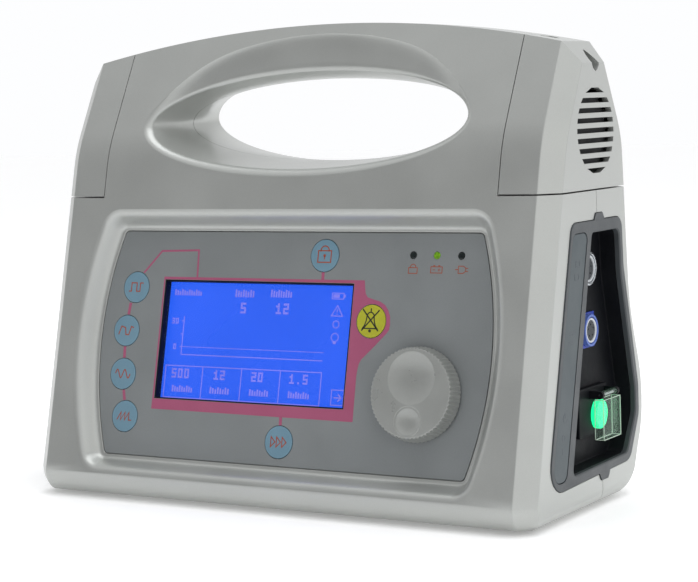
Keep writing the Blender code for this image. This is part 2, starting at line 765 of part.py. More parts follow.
shoulder_cap("right_shoulder_cap", 1)
shoulder_cap("left_shoulder_cap", -1)


# ---------------------------------------------------------------- control panel


def control_panel():
    sheet = panel_loft([(0.0, -OVERLAY_THICKNESS), (0.0, 0.0)])
    cut(place("panel_overlay", sheet, PANEL_GREY, parent=PANEL), PANEL_HOLES)

    half_x, half_y = LCD_SIZE[0] / 2 - GAP, LCD_SIZE[1] / 2 - GAP
    pane = box((-half_x, -half_y, -3.8), (half_x, half_y, -2.8))
    place("lcd_window", pane, CLEAR_PLASTIC, (*LCD_CENTRE, 0.0), parent=PANEL)
    module = box((-half_x - 7.0, -half_y - 5.0, -14.5), (half_x + 7.0, half_y + 5.0, -4.5))
    place("lcd_module", module, LCD_BLUE, (*LCD_CENTRE, 0.0), parent=PANEL)

    for name, (x, y) in KEYS.items():
        look = KEY_YELLOW if name == "alarm_key" else KEY_BLUE
        key = rod(KEY_RADIUS, -KEY_DEPTH, KEY_PROUD, 28)
        place(name, key, look, (x, y, 0.0), parent=PANEL)
    for name, x in LAMPS.items():
        look = LAMP_GREEN if name == "battery_lamp" else LAMP_DARK
        place(name, rod(LAMP_RADIUS, -4.2, 0.2, 12), look, (x, LAMP_LEVEL, 0.0), parent=PANEL)

    sheet = box((-108.0, -55.0, -6.2), (105.0, 55.0, -4.8))
    board = place("keypad_board", sheet, CIRCUIT_GREEN, parent=PANEL)
    around = box((-half_x - 7.6, -half_y - 5.6, -9.0), (half_x + 7.6, half_y + 5.6, 0.0))
    shaft_hole = moved(rod(SHAFT_RADIUS + GAP, -9.0, 0.0, 16), (*KNOB_CENTRE, 0.0))
    openings = gathered([moved(around, (*LCD_CENTRE, 0.0)), shaft_hole])
    cut(board, place("board_openings", openings, parent=PANEL))


def selector():
    """The encoder behind the panel, its shaft and the large knob with two finger dishes."""
    at = (*KNOB_CENTRE, 0.0)
    body = place("encoder_body", box((-7.0, -7.0, -14.0), (7.0, 7.0, -6.5)), ALUMINIUM, at, parent=PANEL)
    cut(body, place("encoder_bore", rod(SHAFT_RADIUS + GAP, -12.5, 0.0, 16), at=at, parent=PANEL))
    place("encoder_shaft", rod(SHAFT_RADIUS, -11.5, SHAFT_TIP, 16), STEEL, at, parent=PANEL)

    profile = [
        (0.0, KNOB_HEIGHT),
        (KNOB_FACE_RADIUS - 0.6, KNOB_HEIGHT),
        (KNOB_FACE_RADIUS, KNOB_HEIGHT - 0.6),
        (KNOB_BASE_RADIUS, 0.6),
        (KNOB_BASE_RADIUS - 0.6, 0.0),
        (0.0, 0.0),
    ]
    knob = place("selector_knob", bmesh.new(), KNOB_GREY, (*KNOB_CENTRE, KNOB_STANDOFF), parent=PANEL)
    points = [(radius * MM, 0.0, height * MM) for radius, height in profile]
    edges = [(index, index + 1) for index in range(len(points) - 1)]
    knob.data.from_pydata(points, edges, [])
    turning = knob.modifiers.new("turned", "SCREW")
    turning.steps = turning.render_steps = 56
    turning.use_merge_vertices = True
    turning.merge_threshold = 0.00001

    knob_at = (*KNOB_CENTRE, KNOB_STANDOFF)
    for number, (centre_y, radius, depth) in enumerate(KNOB_DISHES, start=1):
        ball = (radius**2 + depth**2) / (2 * depth)
        dish = bmesh.new()
        bmesh.ops.create_uvsphere(dish, u_segments=28, v_segments=36, radius=ball)
        dish = moved(dish, (0.0, centre_y, KNOB_HEIGHT + ball - depth))
        cut(knob, place(f"knob_dish_{number}", dish, at=knob_at, parent=PANEL))
    bore = rod(SHAFT_RADIUS + 0.06, -1.0, 5.4, 16)
    cut(knob, place("knob_bore", bore, at=knob_at, parent=PANEL))


control_panel()
selector()


# ---------------------------------------------------------------- side bays


def bay(side, floor):
    """A tub sunk into the side and the dark frame around it."""
    name = "right" if side > 0 else "left"
    handed = Matrix.Diagonal((side, 1.0, 1.0, 1.0))
    seat = HALF_WIDTH + FRAME_PROUD - FRAME_THICKNESS
    shapes = {
        "tub": side_slab(bay_shapes(BAY_OUTLINE, TUB_WALL), floor - TUB_WALL, seat - GAP),
        "tub_space": side_slab(bay_shapes(BAY_OUTLINE), floor, HALF_WIDTH + 9.0),
        "frame": side_slab(frame_outline(), seat, seat + FRAME_THICKNESS),
        "strip_seat": side_slab(bay_shapes(STRIP_OUTLINE, GAP), seat + 1.6, seat + 9.0),
    }
    for number, tab in enumerate(frame_tabs(seat, seat + FRAME_THICKNESS, 0.0)):
        shapes[f"tab_{number}"] = tab
    looks = {"tub": BAY_BLACK, "frame": CHARCOAL}
    placed = {}
    for part, shape in shapes.items():
        bmesh.ops.transform(shape, matrix=handed, verts=shape.verts)
        placed[part] = place(f"{name}_bay_{part}", shape, looks.get(part))
    cut(placed["tub"], placed["tub_space"])
    join(placed["frame"], placed["tab_0"], placed["tab_1"])
    cut(placed["frame"], placed["tub_space"])
    if side > 0:
        cut(placed["frame"], placed["strip_seat"])
        strip = side_slab(bay_shapes(STRIP_OUTLINE), seat + 1.9, seat + FRAME_THICKNESS - 0.2)
        place("right_label_strip", strip, LABEL_GREY)
    return placed["tub"]


def round_socket(name, centre, radius, base):
    """A round connector: a metal shell standing on the bay floor with an insulating insert."""
    y, height = centre
    at = (base, y, height)
    shell = place(name, rod(radius, 0.0, SOCKET_HEIGHT, 28), SOCKET_METAL, at, "+X")
    cut(shell, place(f"{name}_bore", rod(radius - 1.6, 0.7, 9.0, 24), at=at, along="+X"))
    place(f"{name}_insert", rod(radius - 2.0, 1.0, 1.9, 24), BAY_BLACK, at, "+X")


def power_switch():
    """The push button on its pod and the clear guard that hinges over it."""
    pod = place("switch_pod", box(POD_LOW, POD_HIGH), BAY_BLACK)
    button_at = (POD_LOW[0], *BUTTON_CENTRE)
    button = rod(BUTTON_RADIUS, 1.9, BUTTON_FACE - POD_LOW[0], 28)
    button_hole = rod(BUTTON_RADIUS + GAP, 0.6, 9.0, 28)
    cut(pod, place("button_hole", button_hole, at=button_at, along="+X"))
    place("power_button", button, BUTTON_GREEN, button_at, "+X")

    y = HINGE_MIDDLE_Y
    ears = []
    for ear_y in (y - HINGE_LUG_HALF - 2.4, y + HINGE_LUG_HALF + 0.4):
        low = (POD_HIGH[0] - 1.0, ear_y, HINGE_HEIGHT - 1.9)
        foot = box(low, (HINGE_X, ear_y + 2.0, HINGE_HEIGHT + 1.9))
        tip = rod(1.9, ear_y, ear_y + 2.0, 16)
        bmesh.ops.transform(tip, matrix=TURNS["+Y"], verts=tip.verts)
        ears += [foot, moved(tip, (HINGE_X, 0.0, HINGE_HEIGHT))]
    for number, ear in enumerate(ears, start=1):
        join(pod, place(f"pod_ear_{number}", ear))
    pin_at = (HINGE_X, y, HINGE_HEIGHT)
    pin_hole = rod(HINGE_PIN_RADIUS + 0.05, -12.0, 12.0, 12)
    pin_hole = place("pin_hole", pin_hole, at=pin_at, along="+Y")
    cut(pod, pin_hole)
    pin_reach = HINGE_LUG_HALF + 2.2
    place("guard_pin", rod(HINGE_PIN_RADIUS, -pin_reach, pin_reach, 12), STEEL, pin_at, "+Y")

    low = Vector(GUARD_LOW) - Vector(pin_at)
    high = Vector(GUARD_HIGH) - Vector(pin_at)
    guard = place("switch_guard", box(low, high), CLEAR_PLASTIC, pin_at)
    inside_low = low + Vector((-4.0, GUARD_WALL, GUARD_WALL))
    inside_high = high - Vector((GUARD_WALL, GUARD_WALL, GUARD_WALL))
    neck = box((-0.8, -HINGE_LUG_HALF, -2.8), (0.8, HINGE_LUG_HALF, 0.0))
    eye = rod(HINGE_LUG_RADIUS, -HINGE_LUG_HALF, HINGE_LUG_HALF, 16)
    bmesh.ops.transform(eye, matrix=TURNS["+Y"], verts=eye.verts)
    cut(guard, place("guard_inside", box(inside_low, inside_high), at=pin_at))
    join(guard, place("guard_neck", neck, at=pin_at), place("guard_eye", eye, at=pin_at))
    cut(guard, pin_hole)


bay(1, RIGHT_BAY_FLOOR)
LEFT_TUB = bay(-1, LEFT_BAY_FLOOR)
PLATE_TOP = RIGHT_BAY_FLOOR + GAP + 0.7
round_socket("data_socket", DATA_SOCKET, DATA_SOCKET_RADIUS, RIGHT_BAY_FLOOR + GAP)
plate = box((RIGHT_BAY_FLOOR + GAP, -DC_PLATE, -DC_PLATE), (PLATE_TOP, DC_PLATE, DC_PLATE))
place("dc_socket_plate", moved(plate, (0.0, *DC_SOCKET)), SOCKET_BLUE)
round_socket("dc_socket", DC_SOCKET, DC_SOCKET_RADIUS, PLATE_TOP + GAP)
power_switch()


# ---------------------------------------------------------------- gas side


def gas_port(name, y, height, radius, bore, reach, stem, look, tip_radius=None):
    """A hollow port in the left bay, pointing out of the side, with a stem through the bay's floor."""
    at = (-LEFT_BAY_FLOOR - GAP, y, height)
    port = place(name, rod(radius, 0.0, reach, 28, tip_radius), look, at, "-X")
    join(port, place(f"{name}_stem", rod(stem, -PORT_STEM, 1.0, 20), at=at, along="-X"))
    cut(port, place(f"{name}_bore", rod(bore, -PORT_STEM - 5.0, reach + 5.0, 20), at=at, along="-X"))
    hole = place(f"{name}_hole", rod(stem + GAP, -PORT_STEM, 5.0, 20), at=at, along="-X")
    cut(LEFT_TUB, hole)


def hose(name, radius, route, look):
    """A smooth hose through the route's points, round in section."""
    curve = bpy.data.curves.new(name, "CURVE")
    curve.dimensions = "3D"
    curve.bevel_depth = radius * MM
    curve.bevel_resolution = 2
    curve.resolution_u = 6
    curve.use_fill_caps = True
    spline = curve.splines.new("BEZIER")
    spline.bezier_points.add(len(route) - 1)
    for point, at in zip(spline.bezier_points, route):
        point.co = Vector(at) * MM
        point.handle_left_type = point.handle_right_type = "AUTO"
    curve.materials.append(look)
    made = bpy.data.objects.new(name, curve)
    made.parent = VENTILATOR
    PARTS.objects.link(made)


def gas_path():
    """Regulator, proportional valve, mixing block, safety valve and flow sensor, in flow order."""
    oxygen_y, oxygen_z = OXYGEN_PORT
    outlet_y, outlet_z = OUTLET_PORT
    gas_port("oxygen_inlet", oxygen_y, oxygen_z, 7.5, 2.4, 20.0, 4.0, BRASS)
    gas_port("patient_outlet", outlet_y, outlet_z, 11.2, 6.0, 21.0, 7.5, BAY_BLACK, 10.9)
    gas_port("pressure_port", *PRESSURE_PORT, 3.4, 1.2, 14.0, 2.4, SOCKET_METAL, 2.6)

    place("gas_block", box(BLOCK_LOW, BLOCK_HIGH), ALUMINIUM)
    stem_end = -LEFT_BAY_FLOOR - GAP + PORT_STEM
    regulator_at = (stem_end + GAP, oxygen_y, oxygen_z)
    place("pressure_regulator", rod(11.5, 0.0, 32.0, 24), BRASS, regulator_at, "+X")
    valve_at = (-84.0, 15.0, BLOCK_HIGH[2] + GAP)
    place("proportional_valve", rod(9.0, 0.0, 19.0, 24), STEEL, valve_at)
    place("safety_valve", rod(7.0, 0.0, 16.0, 20), BRASS, (BLOCK_HIGH[0] + GAP, 15.0, 66.0), "+X")
    sensor_at = (BLOCK_LOW[0] - GAP, outlet_y, outlet_z)
    place("flow_sensor", rod(8.5, 0.0, 14.0, 24), HOSE_CLEAR, sensor_at, "-X")
    coupling_at = (stem_end, outlet_y, outlet_z)
    sleeve = place("outlet_coupling", rod(9.4, -4.7, 7.2, 24), RUBBER, coupling_at, "+X")
    cut(sleeve, place("coupling_bore", rod(7.8, -9.0, 12.0, 24), at=coupling_at, along="+X"))
    regulator_end = regulator_at[0] + 32.0 + 4 * GAP
    route = [
        (regulator_end, oxygen_y, oxygen_z),
        (regulator_end + 12.0, oxygen_y + 1.0, oxygen_z - 4.0),
        (-58.0, 14.0, 100.0),
        (-57.0, 15.0, BLOCK_HIGH[2] + 3 * GAP),
    ]
    hose("supply_hose", 3.2, route, RUBBER)


# ---------------------------------------------------------------- boards, battery, sound and screws


def circuit_board(name, low, high, blocks):
    """A circuit board with blocks, such as chips and coils, raised out of it as one piece."""
    board = place(name, box(low, high), CIRCUIT_GREEN)
    for number, (block_low, block_high) in enumerate(blocks, start=1):
        join(board, place(f"{name}_block_{number}", box(block_low, block_high)))


def electronics():
    """The chassis plate on the seam with a board on each side of it."""
    plate = place("chassis_plate", box((-113.0, -2.4, 42.0), (113.0, -0.6, 152.0)), ALUMINIUM)
    post_holes = []
    for x, height in SCREW_PLACES[2:]:
        hole = rod(BOSS_RADIUS + GAP, -9.0, 9.0, 20)
        bmesh.ops.transform(hole, matrix=TURNS["+Y"], verts=hole.verts)
        post_holes.append(moved(hole, (x, 0.0, height)))
    cut(plate, place("plate_holes", gathered(post_holes)))

    chips = [((-60.0, -9.5, 78.0), (-32.0, -6.0, 106.0)), ((20.0, -9.5, 60.0), (34.0, -6.5, 90.0))]
    circuit_board("main_board", (-96.0, -10.5, 46.0), (96.0, -8.9, 140.0), chips)
    coils = [((60.0, 4.0, 58.0), (88.0, 26.0, 86.0)), ((94.0, 4.0, 60.0), (112.0, 20.0, 84.0))]
    circuit_board("power_board", (54.0, 3.0, 50.0), (116.0, 4.6, 138.0), coils)


def battery_and_sound():
    """The battery pack above its cover, and the speaker and air filter behind the two vents."""
    half_x, half_y = COVER_SIZE[0] / 2 - 5.0, COVER_SIZE[1] / 2 - 5.0
    pack = box((-half_x, -half_y, FLOOR_CLEARANCE + 3.0), (half_x, half_y, 36.0))
    place("battery_pack", moved(pack, (0.0, COVER_CENTRE_Y, 0.0)), BATTERY_BLUE)

    behind_wall = HALF_WIDTH - WALL - GAP
    vent_at = (0.0, *VENT_CENTRE)
    place("alarm_speaker", rod(18.0, 131.0, behind_wall, 24), CHARCOAL, vent_at, "+X")
    place("air_filter", rod(18.0, 133.0, behind_wall, 24), FILTER_GREY, vent_at, "-X")


def housing_screws():
    for number, (x, height) in enumerate(SCREW_PLACES, start=1):
        at = (x, SCREW_SEAT, height)
        shank = rod(SCREW_RADIUS, -SCREW_LENGTH, 1.0, 12)
        screw = place(f"housing_screw_{number}", shank, STEEL, at, "+Y")
        head = rod(SCREW_HEAD_RADIUS, 0.1, SCREW_HEAD, 20)
        join(screw, place(f"screw_head_{number}", head, at=at, along="+Y"))


gas_path()
electronics()
battery_and_sound()
housing_screws()
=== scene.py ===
"""Looks of the portable ventilator: detailed shells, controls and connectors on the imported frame."""

import math

import bmesh
import bpy
import numpy as np
from mathutils import Matrix, Vector


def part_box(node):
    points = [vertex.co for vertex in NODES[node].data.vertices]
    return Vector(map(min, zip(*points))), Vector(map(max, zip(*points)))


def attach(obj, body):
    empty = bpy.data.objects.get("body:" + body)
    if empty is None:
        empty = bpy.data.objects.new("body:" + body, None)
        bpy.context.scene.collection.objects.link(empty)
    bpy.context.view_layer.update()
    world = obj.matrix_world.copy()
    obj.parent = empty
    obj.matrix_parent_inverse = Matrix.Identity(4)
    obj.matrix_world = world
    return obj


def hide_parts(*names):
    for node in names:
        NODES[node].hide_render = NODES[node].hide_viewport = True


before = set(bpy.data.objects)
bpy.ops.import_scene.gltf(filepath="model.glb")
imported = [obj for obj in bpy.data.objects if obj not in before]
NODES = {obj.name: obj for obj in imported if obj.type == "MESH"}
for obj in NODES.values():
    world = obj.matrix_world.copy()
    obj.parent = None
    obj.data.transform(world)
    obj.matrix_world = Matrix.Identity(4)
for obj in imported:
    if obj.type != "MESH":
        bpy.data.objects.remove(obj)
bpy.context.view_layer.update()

# Body coordinates are millimetres with y = 0 on the seam between the two housings.
SEAM = (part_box("front_housing")[1].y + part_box("rear_housing")[0].y) / 2
BODY = Matrix.Translation((0.0, SEAM, 0.0)) @ Matrix.Scale(0.001, 4)

HALF_WIDTH = 146.6
FLOOR_CLEARANCE = 1.5
WALL = 3.0
PARTING = 154.8
KINK = 180.0
KINK_BLEND = 9.0
ROLL = 13.4
CAP_SEAM = 117.1
SHOULDER_X, SHOULDER_Z, BEVEL_Z = 137.7, 226.1, 215.5
HANDLE_TOP = 240.8
OPENING_Z = 192.0
FRONT_AT_PARTING, REAR_AT_KINK = 45.9, 39.87
FRONT_LEAN, REAR_LEAN, TOP_LEAN = 0.24, 0.065, 0.527
EDGE_X, EDGE_Y = 9.1, 8.6
GAP = 0.3
# Heights and depths of the rear face, up to where it starts to lean.
REAR_PROFILE = np.array(
    [
        (1.5, 30.0), (9.0, 44.0), (22.0, 51.5), (34.0, 56.8), (46.0, 58.3), (62.0, 56.6), (80.0, 50.7),
        (96.0, 46.2), (116.0, 43.9), (154.8, 41.5), (171.0, 40.45),
    ]
)
TILT = math.atan(FRONT_LEAN)


def in_scene(name, data):
    """A new object in the scene."""
    made = bpy.data.objects.new(name, data)
    bpy.context.scene.collection.objects.link(made)
    return made


# ---------------------------------------------------------------- camera

PITCH, YAW, ROLL_ANGLE = math.radians(5.49), math.radians(31.71), math.radians(-1.99)
forward = Vector(
    (-math.sin(YAW) * math.cos(PITCH), math.cos(YAW) * math.cos(PITCH), -math.sin(PITCH))
)
level = Vector((math.cos(YAW), math.sin(YAW), 0.0))
upright = level.cross(forward)
right = math.cos(ROLL_ANGLE) * level + math.sin(ROLL_ANGLE) * upright
up = math.cos(ROLL_ANGLE) * upright - math.sin(ROLL_ANGLE) * level
camera_data = bpy.data.cameras.new("camera")
camera_data.lens = 102.2
camera_data.sensor_width = 36.0
camera = in_scene("camera", camera_data)
camera.matrix_world = Matrix.Translation((0.5445, SEAM - 0.873, 0.2016)) @ Matrix(
    (right, up, -forward)
).transposed().to_4x4()
bpy.context.scene.camera = camera


# ---------------------------------------------------------------- materials


def srgb(*values):
    """Linear colour of a screen colour given in 0 to 255."""
    return tuple(
        v / 255 / 12.92 if v <= 10 else ((v / 255 + 0.055) / 1.055) ** 2.4 for v in values
    )


def add_node(tree, kind, inputs=(), **settings):
    """A shader node whose inputs each take a value or another node's output."""
    made = tree.nodes.new(f"ShaderNode{kind}")
    for setting, value in settings.items():
        setattr(made, setting, value)
    for socket, value in dict(inputs).items():
        if isinstance(value, bpy.types.NodeSocket):
            tree.links.new(value, made.inputs[socket])
        else:
            made.inputs[socket].default_value = value
    return made


def two_tone(tree, factor, dark, bright):
    """A colour that goes from dark to bright over the middle of a noise."""
    ramp = add_node(tree, "ValToRGB", {"Fac": factor})
    for element, place, colour in zip(ramp.color_ramp.elements, (0.3, 0.7), (dark, bright)):
        element.position = place
        element.color = (*colour, 1.0)
    return ramp.outputs["Color"]


def surface(
    name, colour, roughness, metallic=0.0, mottle=0.05, mottle_scale=60.0, grain=900.0, bump=0.12,
    spread=0.08, **sockets,
):
    """A Principled material whose colour, roughness and relief all come from noise in the model's frame."""
    made = bpy.data.materials.new(name)
    made.use_nodes = True
    tree = made.node_tree
    shader = tree.nodes["Principled BSDF"]
    where = add_node(tree, "TexCoord").outputs["Object"]
    broad_noise = add_node(tree, "TexNoise", {"Vector": where, "Scale": mottle_scale, "Detail": 4.0})
    fine_noise = add_node(tree, "TexNoise", {"Vector": where, "Scale": grain, "Detail": 2.0})
    broad, fine = broad_noise.outputs["Fac"], fine_noise.outputs["Fac"]

    broad_part = add_node(tree, "Math", {0: broad, 1: 0.45}, operation="MULTIPLY").outputs[0]
    both = add_node(tree, "Math", {0: fine, 1: 0.55, 2: broad_part}, operation="MULTIPLY_ADD")
    dark = [c * (1 - mottle) for c in colour]
    bright = [min(1.0, c * (1 + mottle)) for c in colour]
    tree.links.new(two_tone(tree, both.outputs[0], dark, bright), shader.inputs["Base Color"])

    wear = add_node(
        tree, "MapRange",
        {
            "Value": broad, "From Min": 0.3, "From Max": 0.7,
            "To Min": max(0.02, roughness - spread), "To Max": min(1.0, roughness + spread),
        },
    )
    tree.links.new(wear.outputs["Result"], shader.inputs["Roughness"])
    relief = add_node(tree, "Bump", {"Height": fine, "Strength": bump, "Distance": 0.0003})
    tree.links.new(relief.outputs["Normal"], shader.inputs["Normal"])

    shader.inputs["Metallic"].default_value = metallic
    for socket, value in sockets.items():
        shader.inputs[socket.replace("_", " ")].default_value = value
    return made


# Each row: name, colour, roughness, metallic, mottle, mottle scale, grain, bump and spread.
LOOKS = {
    "paint": surface(
        "silver_paint", srgb(183, 185, 182), 0.36, 0.62, 0.06, 25.0, 2600.0, 0.10, 0.05,
        Coat_Weight=0.15,
    ),
    "overlay": surface("overlay_film", srgb(136, 140, 141), 0.42, 0.25, 0.05, 40.0, 2200.0, 0.08),
    "key": surface("key_film", srgb(108, 142, 160), 0.45, 0.0, 0.05, 120.0, 1800.0, 0.06),
    "bell": surface("bell_film", srgb(176, 176, 42), 0.45, 0.0, 0.10, 160.0, 1800.0, 0.06),
    "pink": surface("pink_ink", srgb(164, 82, 114), 0.45, 0.0, 0.05, 60.0, 1500.0, 0.05),
    "brown": surface("brown_ink", srgb(158, 70, 40), 0.5, 0.0, 0.10, 200.0, 1500.0, 0.05),
    "black_ink": surface("black_ink", srgb(38, 40, 30), 0.5, 0.0, 0.15, 200.0, 1500.0, 0.05),
    "grey_ink": surface("grey_ink", srgb(72, 78, 84), 0.5, 0.0, 0.12, 200.0, 1500.0, 0.05),
    "knob": surface("knob_satin", srgb(160, 162, 159), 0.34, 0.35, 0.04, 90.0, 1500.0, 0.08),
    "charcoal": surface("charcoal_plastic", srgb(66, 70, 73), 0.42, 0.0, 0.08, 90.0, 1600.0, 0.25),
    "black": surface(
        "black_plastic", srgb(11, 13, 18), 0.55, 0.0, 0.25, 70.0, 1400.0, 0.25,
        Specular_IOR_Level=0.2,
    ),
    "strip": surface("strip_film", srgb(74, 83, 87), 0.5, 0.1, 0.05, 50.0, 1800.0, 0.06),
    "plated": surface("plated_ring", srgb(196, 200, 204), 0.25, 0.85, 0.06, 200.0, 1500.0, 0.06),
    "blue": surface("blue_moulding", srgb(32, 62, 168), 0.35, 0.0, 0.10, 150.0, 1400.0, 0.15),
    "white": surface("white_moulding", srgb(206, 210, 214), 0.4, 0.0, 0.05, 150.0, 1400.0, 0.1),
    "steel": surface("bright_steel", srgb(170, 172, 175), 0.28, 1.0, 0.06, 300.0, 2500.0, 0.15),
    "aluminium": surface("milled_aluminium", srgb(200, 201, 204), 0.38, 1.0, 0.05, 200.0, 2400.0, 0.2),
    "brass": surface("machined_brass", srgb(196, 160, 88), 0.27, 1.0, 0.08, 200.0, 2200.0, 0.15),
    "rubber": surface("black_rubber", srgb(36, 36, 38), 0.75, 0.0, 0.15, 200.0, 1400.0, 0.5),
    "circuit": surface("solder_mask", srgb(22, 92, 48), 0.35, 0.0, 0.18, 350.0, 1200.0, 0.3),
    "milky": surface("milky_plastic", srgb(200, 208, 203), 0.35, 0.0, 0.05, 150.0, 1200.0, 0.1),
    "felt": surface("filter_felt", srgb(36, 37, 40), 0.95, 0.0, 0.12, 500.0, 1600.0, 0.8),
    "wrap": surface("battery_wrap", srgb(46, 66, 110), 0.3, 0.0, 0.08, 120.0, 900.0, 0.2),
    "blue_ring": surface("blue_ring", srgb(92, 116, 190), 0.35, 0.0, 0.08, 150.0, 1400.0, 0.12),
    "socket_core": surface("socket_core", srgb(58, 62, 66), 0.6, 0.0, 0.12, 200.0, 1400.0, 0.2),
    "dark_lens": surface("dark_lens", srgb(16, 26, 26), 0.15, 0.0, 0.2, 500.0, 1200.0, 0.05),
}


def clear_plastic(name, tint, alpha, shine=0.6):
    """A see-through plastic."""
    return surface(
        name, tint, 0.08, 0.0, 0.03, 120.0, 700.0, 0.03, 0.03,
        Alpha=alpha, Specular_IOR_Level=shine,
    )


LOOKS["guard"] = clear_plastic("clear_guard", srgb(190, 224, 202), 0.08)
# Painted highlight: a paler, nearly opaque plastic for the clear guard's edges.
LOOKS["guard_highlight"] = clear_plastic("clear_guard_highlight", srgb(214, 230, 214), 0.72)
LOOKS["pane"] = clear_plastic("clear_pane", srgb(120, 140, 225), 0.04, 0.25)


def lit(name, colour, glow, strength, scale, depth=0.25, roughness=0.3):
    """A lit plastic whose glow varies slightly over the surface."""
    made = surface(name, colour, roughness, 0.0, 0.1, scale, 1500.0, 0.04)
    tree = made.node_tree
    shader = tree.nodes["Principled BSDF"]
    where = add_node(tree, "TexCoord").outputs["Object"]
    noise = add_node(tree, "TexNoise", {"Vector": where, "Scale": scale}).outputs["Fac"]
    glows = two_tone(tree, noise, [c * (1 - depth) for c in glow], glow)
    tree.links.new(glows, shader.inputs["Emission Color"])
    shader.inputs["Emission Strength"].default_value = strength
    return made


LOOKS["screen"] = lit("screen_blue", srgb(8, 14, 60), srgb(34, 98, 255), 0.96, 14.0, 0.10)
LOOKS["pixels"] = lit("screen_pixels", srgb(60, 60, 90), srgb(132, 128, 246), 0.9, 30.0, 0.15)
LOOKS["button"] = lit("button_green", srgb(0, 120, 70), srgb(30, 255, 160), 1.6, 90.0, 0.35)
LOOKS["lamp"] = lit("lamp_green", srgb(60, 90, 10), srgb(130, 190, 20), 0.6, 900.0, 0.8, 0.2)


# ---------------------------------------------------------------- mesh helpers


def bridge(shape, lower, upper):
    """Faces between two rings of corners with equal numbers of points."""
    for index, corner in enumerate(lower):
        following = (index + 1) % len(lower)
        shape.faces.new((corner, lower[following], upper[following], upper[index]))


def loft(rings):
    """A closed skin over rings with equal numbers of points."""
    shape = bmesh.new()
    rows = [[shape.verts.new(point) for point in ring] for ring in rings]
    for lower, upper in zip(rows, rows[1:]):
        bridge(shape, lower, upper)
    shape.faces.new(rows[0])
    shape.faces.new(rows[-1])
    bmesh.ops.recalc_face_normals(shape, faces=shape.faces)
    return shape


def lathe(profile, segments=64, matrix=None, hollow=False):
    """A solid turned from (radius, height) points that start and end on the axis, or a hollow ring."""
    shape = bmesh.new()
    rows = []
    for radius, height in profile:
        if radius < 1e-6:
            rows.append([shape.verts.new((0.0, 0.0, height))])
            continue
        turn = 2 * math.pi / segments
        rows.append(
            [
                shape.verts.new((radius * math.cos(turn * k), radius * math.sin(turn * k), height))
                for k in range(segments)
            ]
        )
    for low, high in zip(rows, rows[1:] + (rows[:1] if hollow else [])):
        for k in range(segments):
            following = (k + 1) % segments
            if len(low) == 1:
                shape.faces.new((low[0], high[k], high[following]))
            elif len(high) == 1:
                shape.faces.new((low[k], low[following], high[0]))
            else:
                shape.faces.new((low[k], low[following], high[following], high[k]))
    bmesh.ops.recalc_face_normals(shape, faces=shape.faces)
    if matrix is not None:
        bmesh.ops.transform(shape, matrix=matrix, verts=shape.verts)
    return shape


def block(low, high, edge=0.0, matrix=None):
    """A box with rounded edges."""
    shape = bmesh.new()
    bmesh.ops.create_cube(shape, size=1.0)
    low, high = Vector(low), Vector(high)
    bmesh.ops.scale(shape, vec=high - low, verts=shape.verts)
    bmesh.ops.translate(shape, vec=(low + high) / 2, verts=shape.verts)
    if edge:
        bmesh.ops.bevel(
            shape, geom=shape.edges[:], offset=edge, segments=3, profile=0.5, affect="EDGES"
        )
    if matrix is not None:
        bmesh.ops.transform(shape, matrix=matrix, verts=shape.verts)
    return shape


def prism(outline, levels, along="Z"):
    """An outline in (u, v) skinned through (inset, height) levels. Along X, u is y and v is z."""
    rings = []
    for inset, height in levels:
        ring = grown(outline, -inset) if inset else outline
        if along == "X":
            rings.append([(height, u, v) for u, v in ring])
        elif along == "Y":
            rings.append([(u, height, v) for u, v in ring])
        else:
            rings.append([(u, v, height) for u, v in ring])
    return loft(rings)


def rounded(corners, steps=6):
    """An outline through (u, v, radius) corners, each one rounded with an arc."""
    outline = []
    for index, (u, v, radius) in enumerate(corners):
        here = Vector((u, v))
        before = (Vector(corners[index - 1][:2]) - here).normalized()
        after = (Vector(corners[(index + 1) % len(corners)][:2]) - here).normalized()
        half = before.angle(after) / 2
        centre = here + (before + after).normalized() * (radius / math.sin(half))
        first = here + before * (radius / math.tan(half)) - centre
        last = here + after * (radius / math.tan(half)) - centre
        sweep = first.angle_signed(last)
        for step in range(steps + 1):
            outline.append(tuple(centre + Matrix.Rotation(-sweep * step / steps, 2) @ first))
    return outline


def grown(outline, distance):
    """The outline moved outwards by a distance, with mitred corners."""
    points = [Vector(point) for point in outline]
    area = sum(a.x * b.y - b.x * a.y for a, b in zip(points, points[1:] + points[:1]))
    side = 1.0 if area > 0 else -1.0
    result = []
    for index, point in enumerate(points):
        into = (point - points[index - 1]).normalized()
        out = (points[(index + 1) % len(points)] - point).normalized()
        normal_in = Vector((into.y, -into.x)) * side
        normal_out = Vector((out.y, -out.x)) * side
        mitre = (normal_in + normal_out).normalized()
        result.append(tuple(point + mitre * (distance / max(0.5, mitre.dot(normal_in)))))
    return result


def gathered(shapes):
    """Several shapes as one."""
    whole = bmesh.new()
    for shape in shapes:
        mesh = bpy.data.meshes.new("gathered")
        shape.to_mesh(mesh)
        shape.free()
        whole.from_mesh(mesh)
        bpy.data.meshes.remove(mesh)
    return whole


def placed(shape, matrix):
    bmesh.ops.transform(shape, matrix=matrix, verts=shape.verts)
    bmesh.ops.recalc_face_normals(shape, faces=shape.faces)
    return shape


def scratch(shape):
    """A short-lived object for the Boolean steps."""
    mesh = bpy.data.meshes.new("scratch")
    bmesh.ops.recalc_face_normals(shape, faces=shape.faces)
    shape.to_mesh(mesh)
    shape.free()
    return in_scene("scratch", mesh)


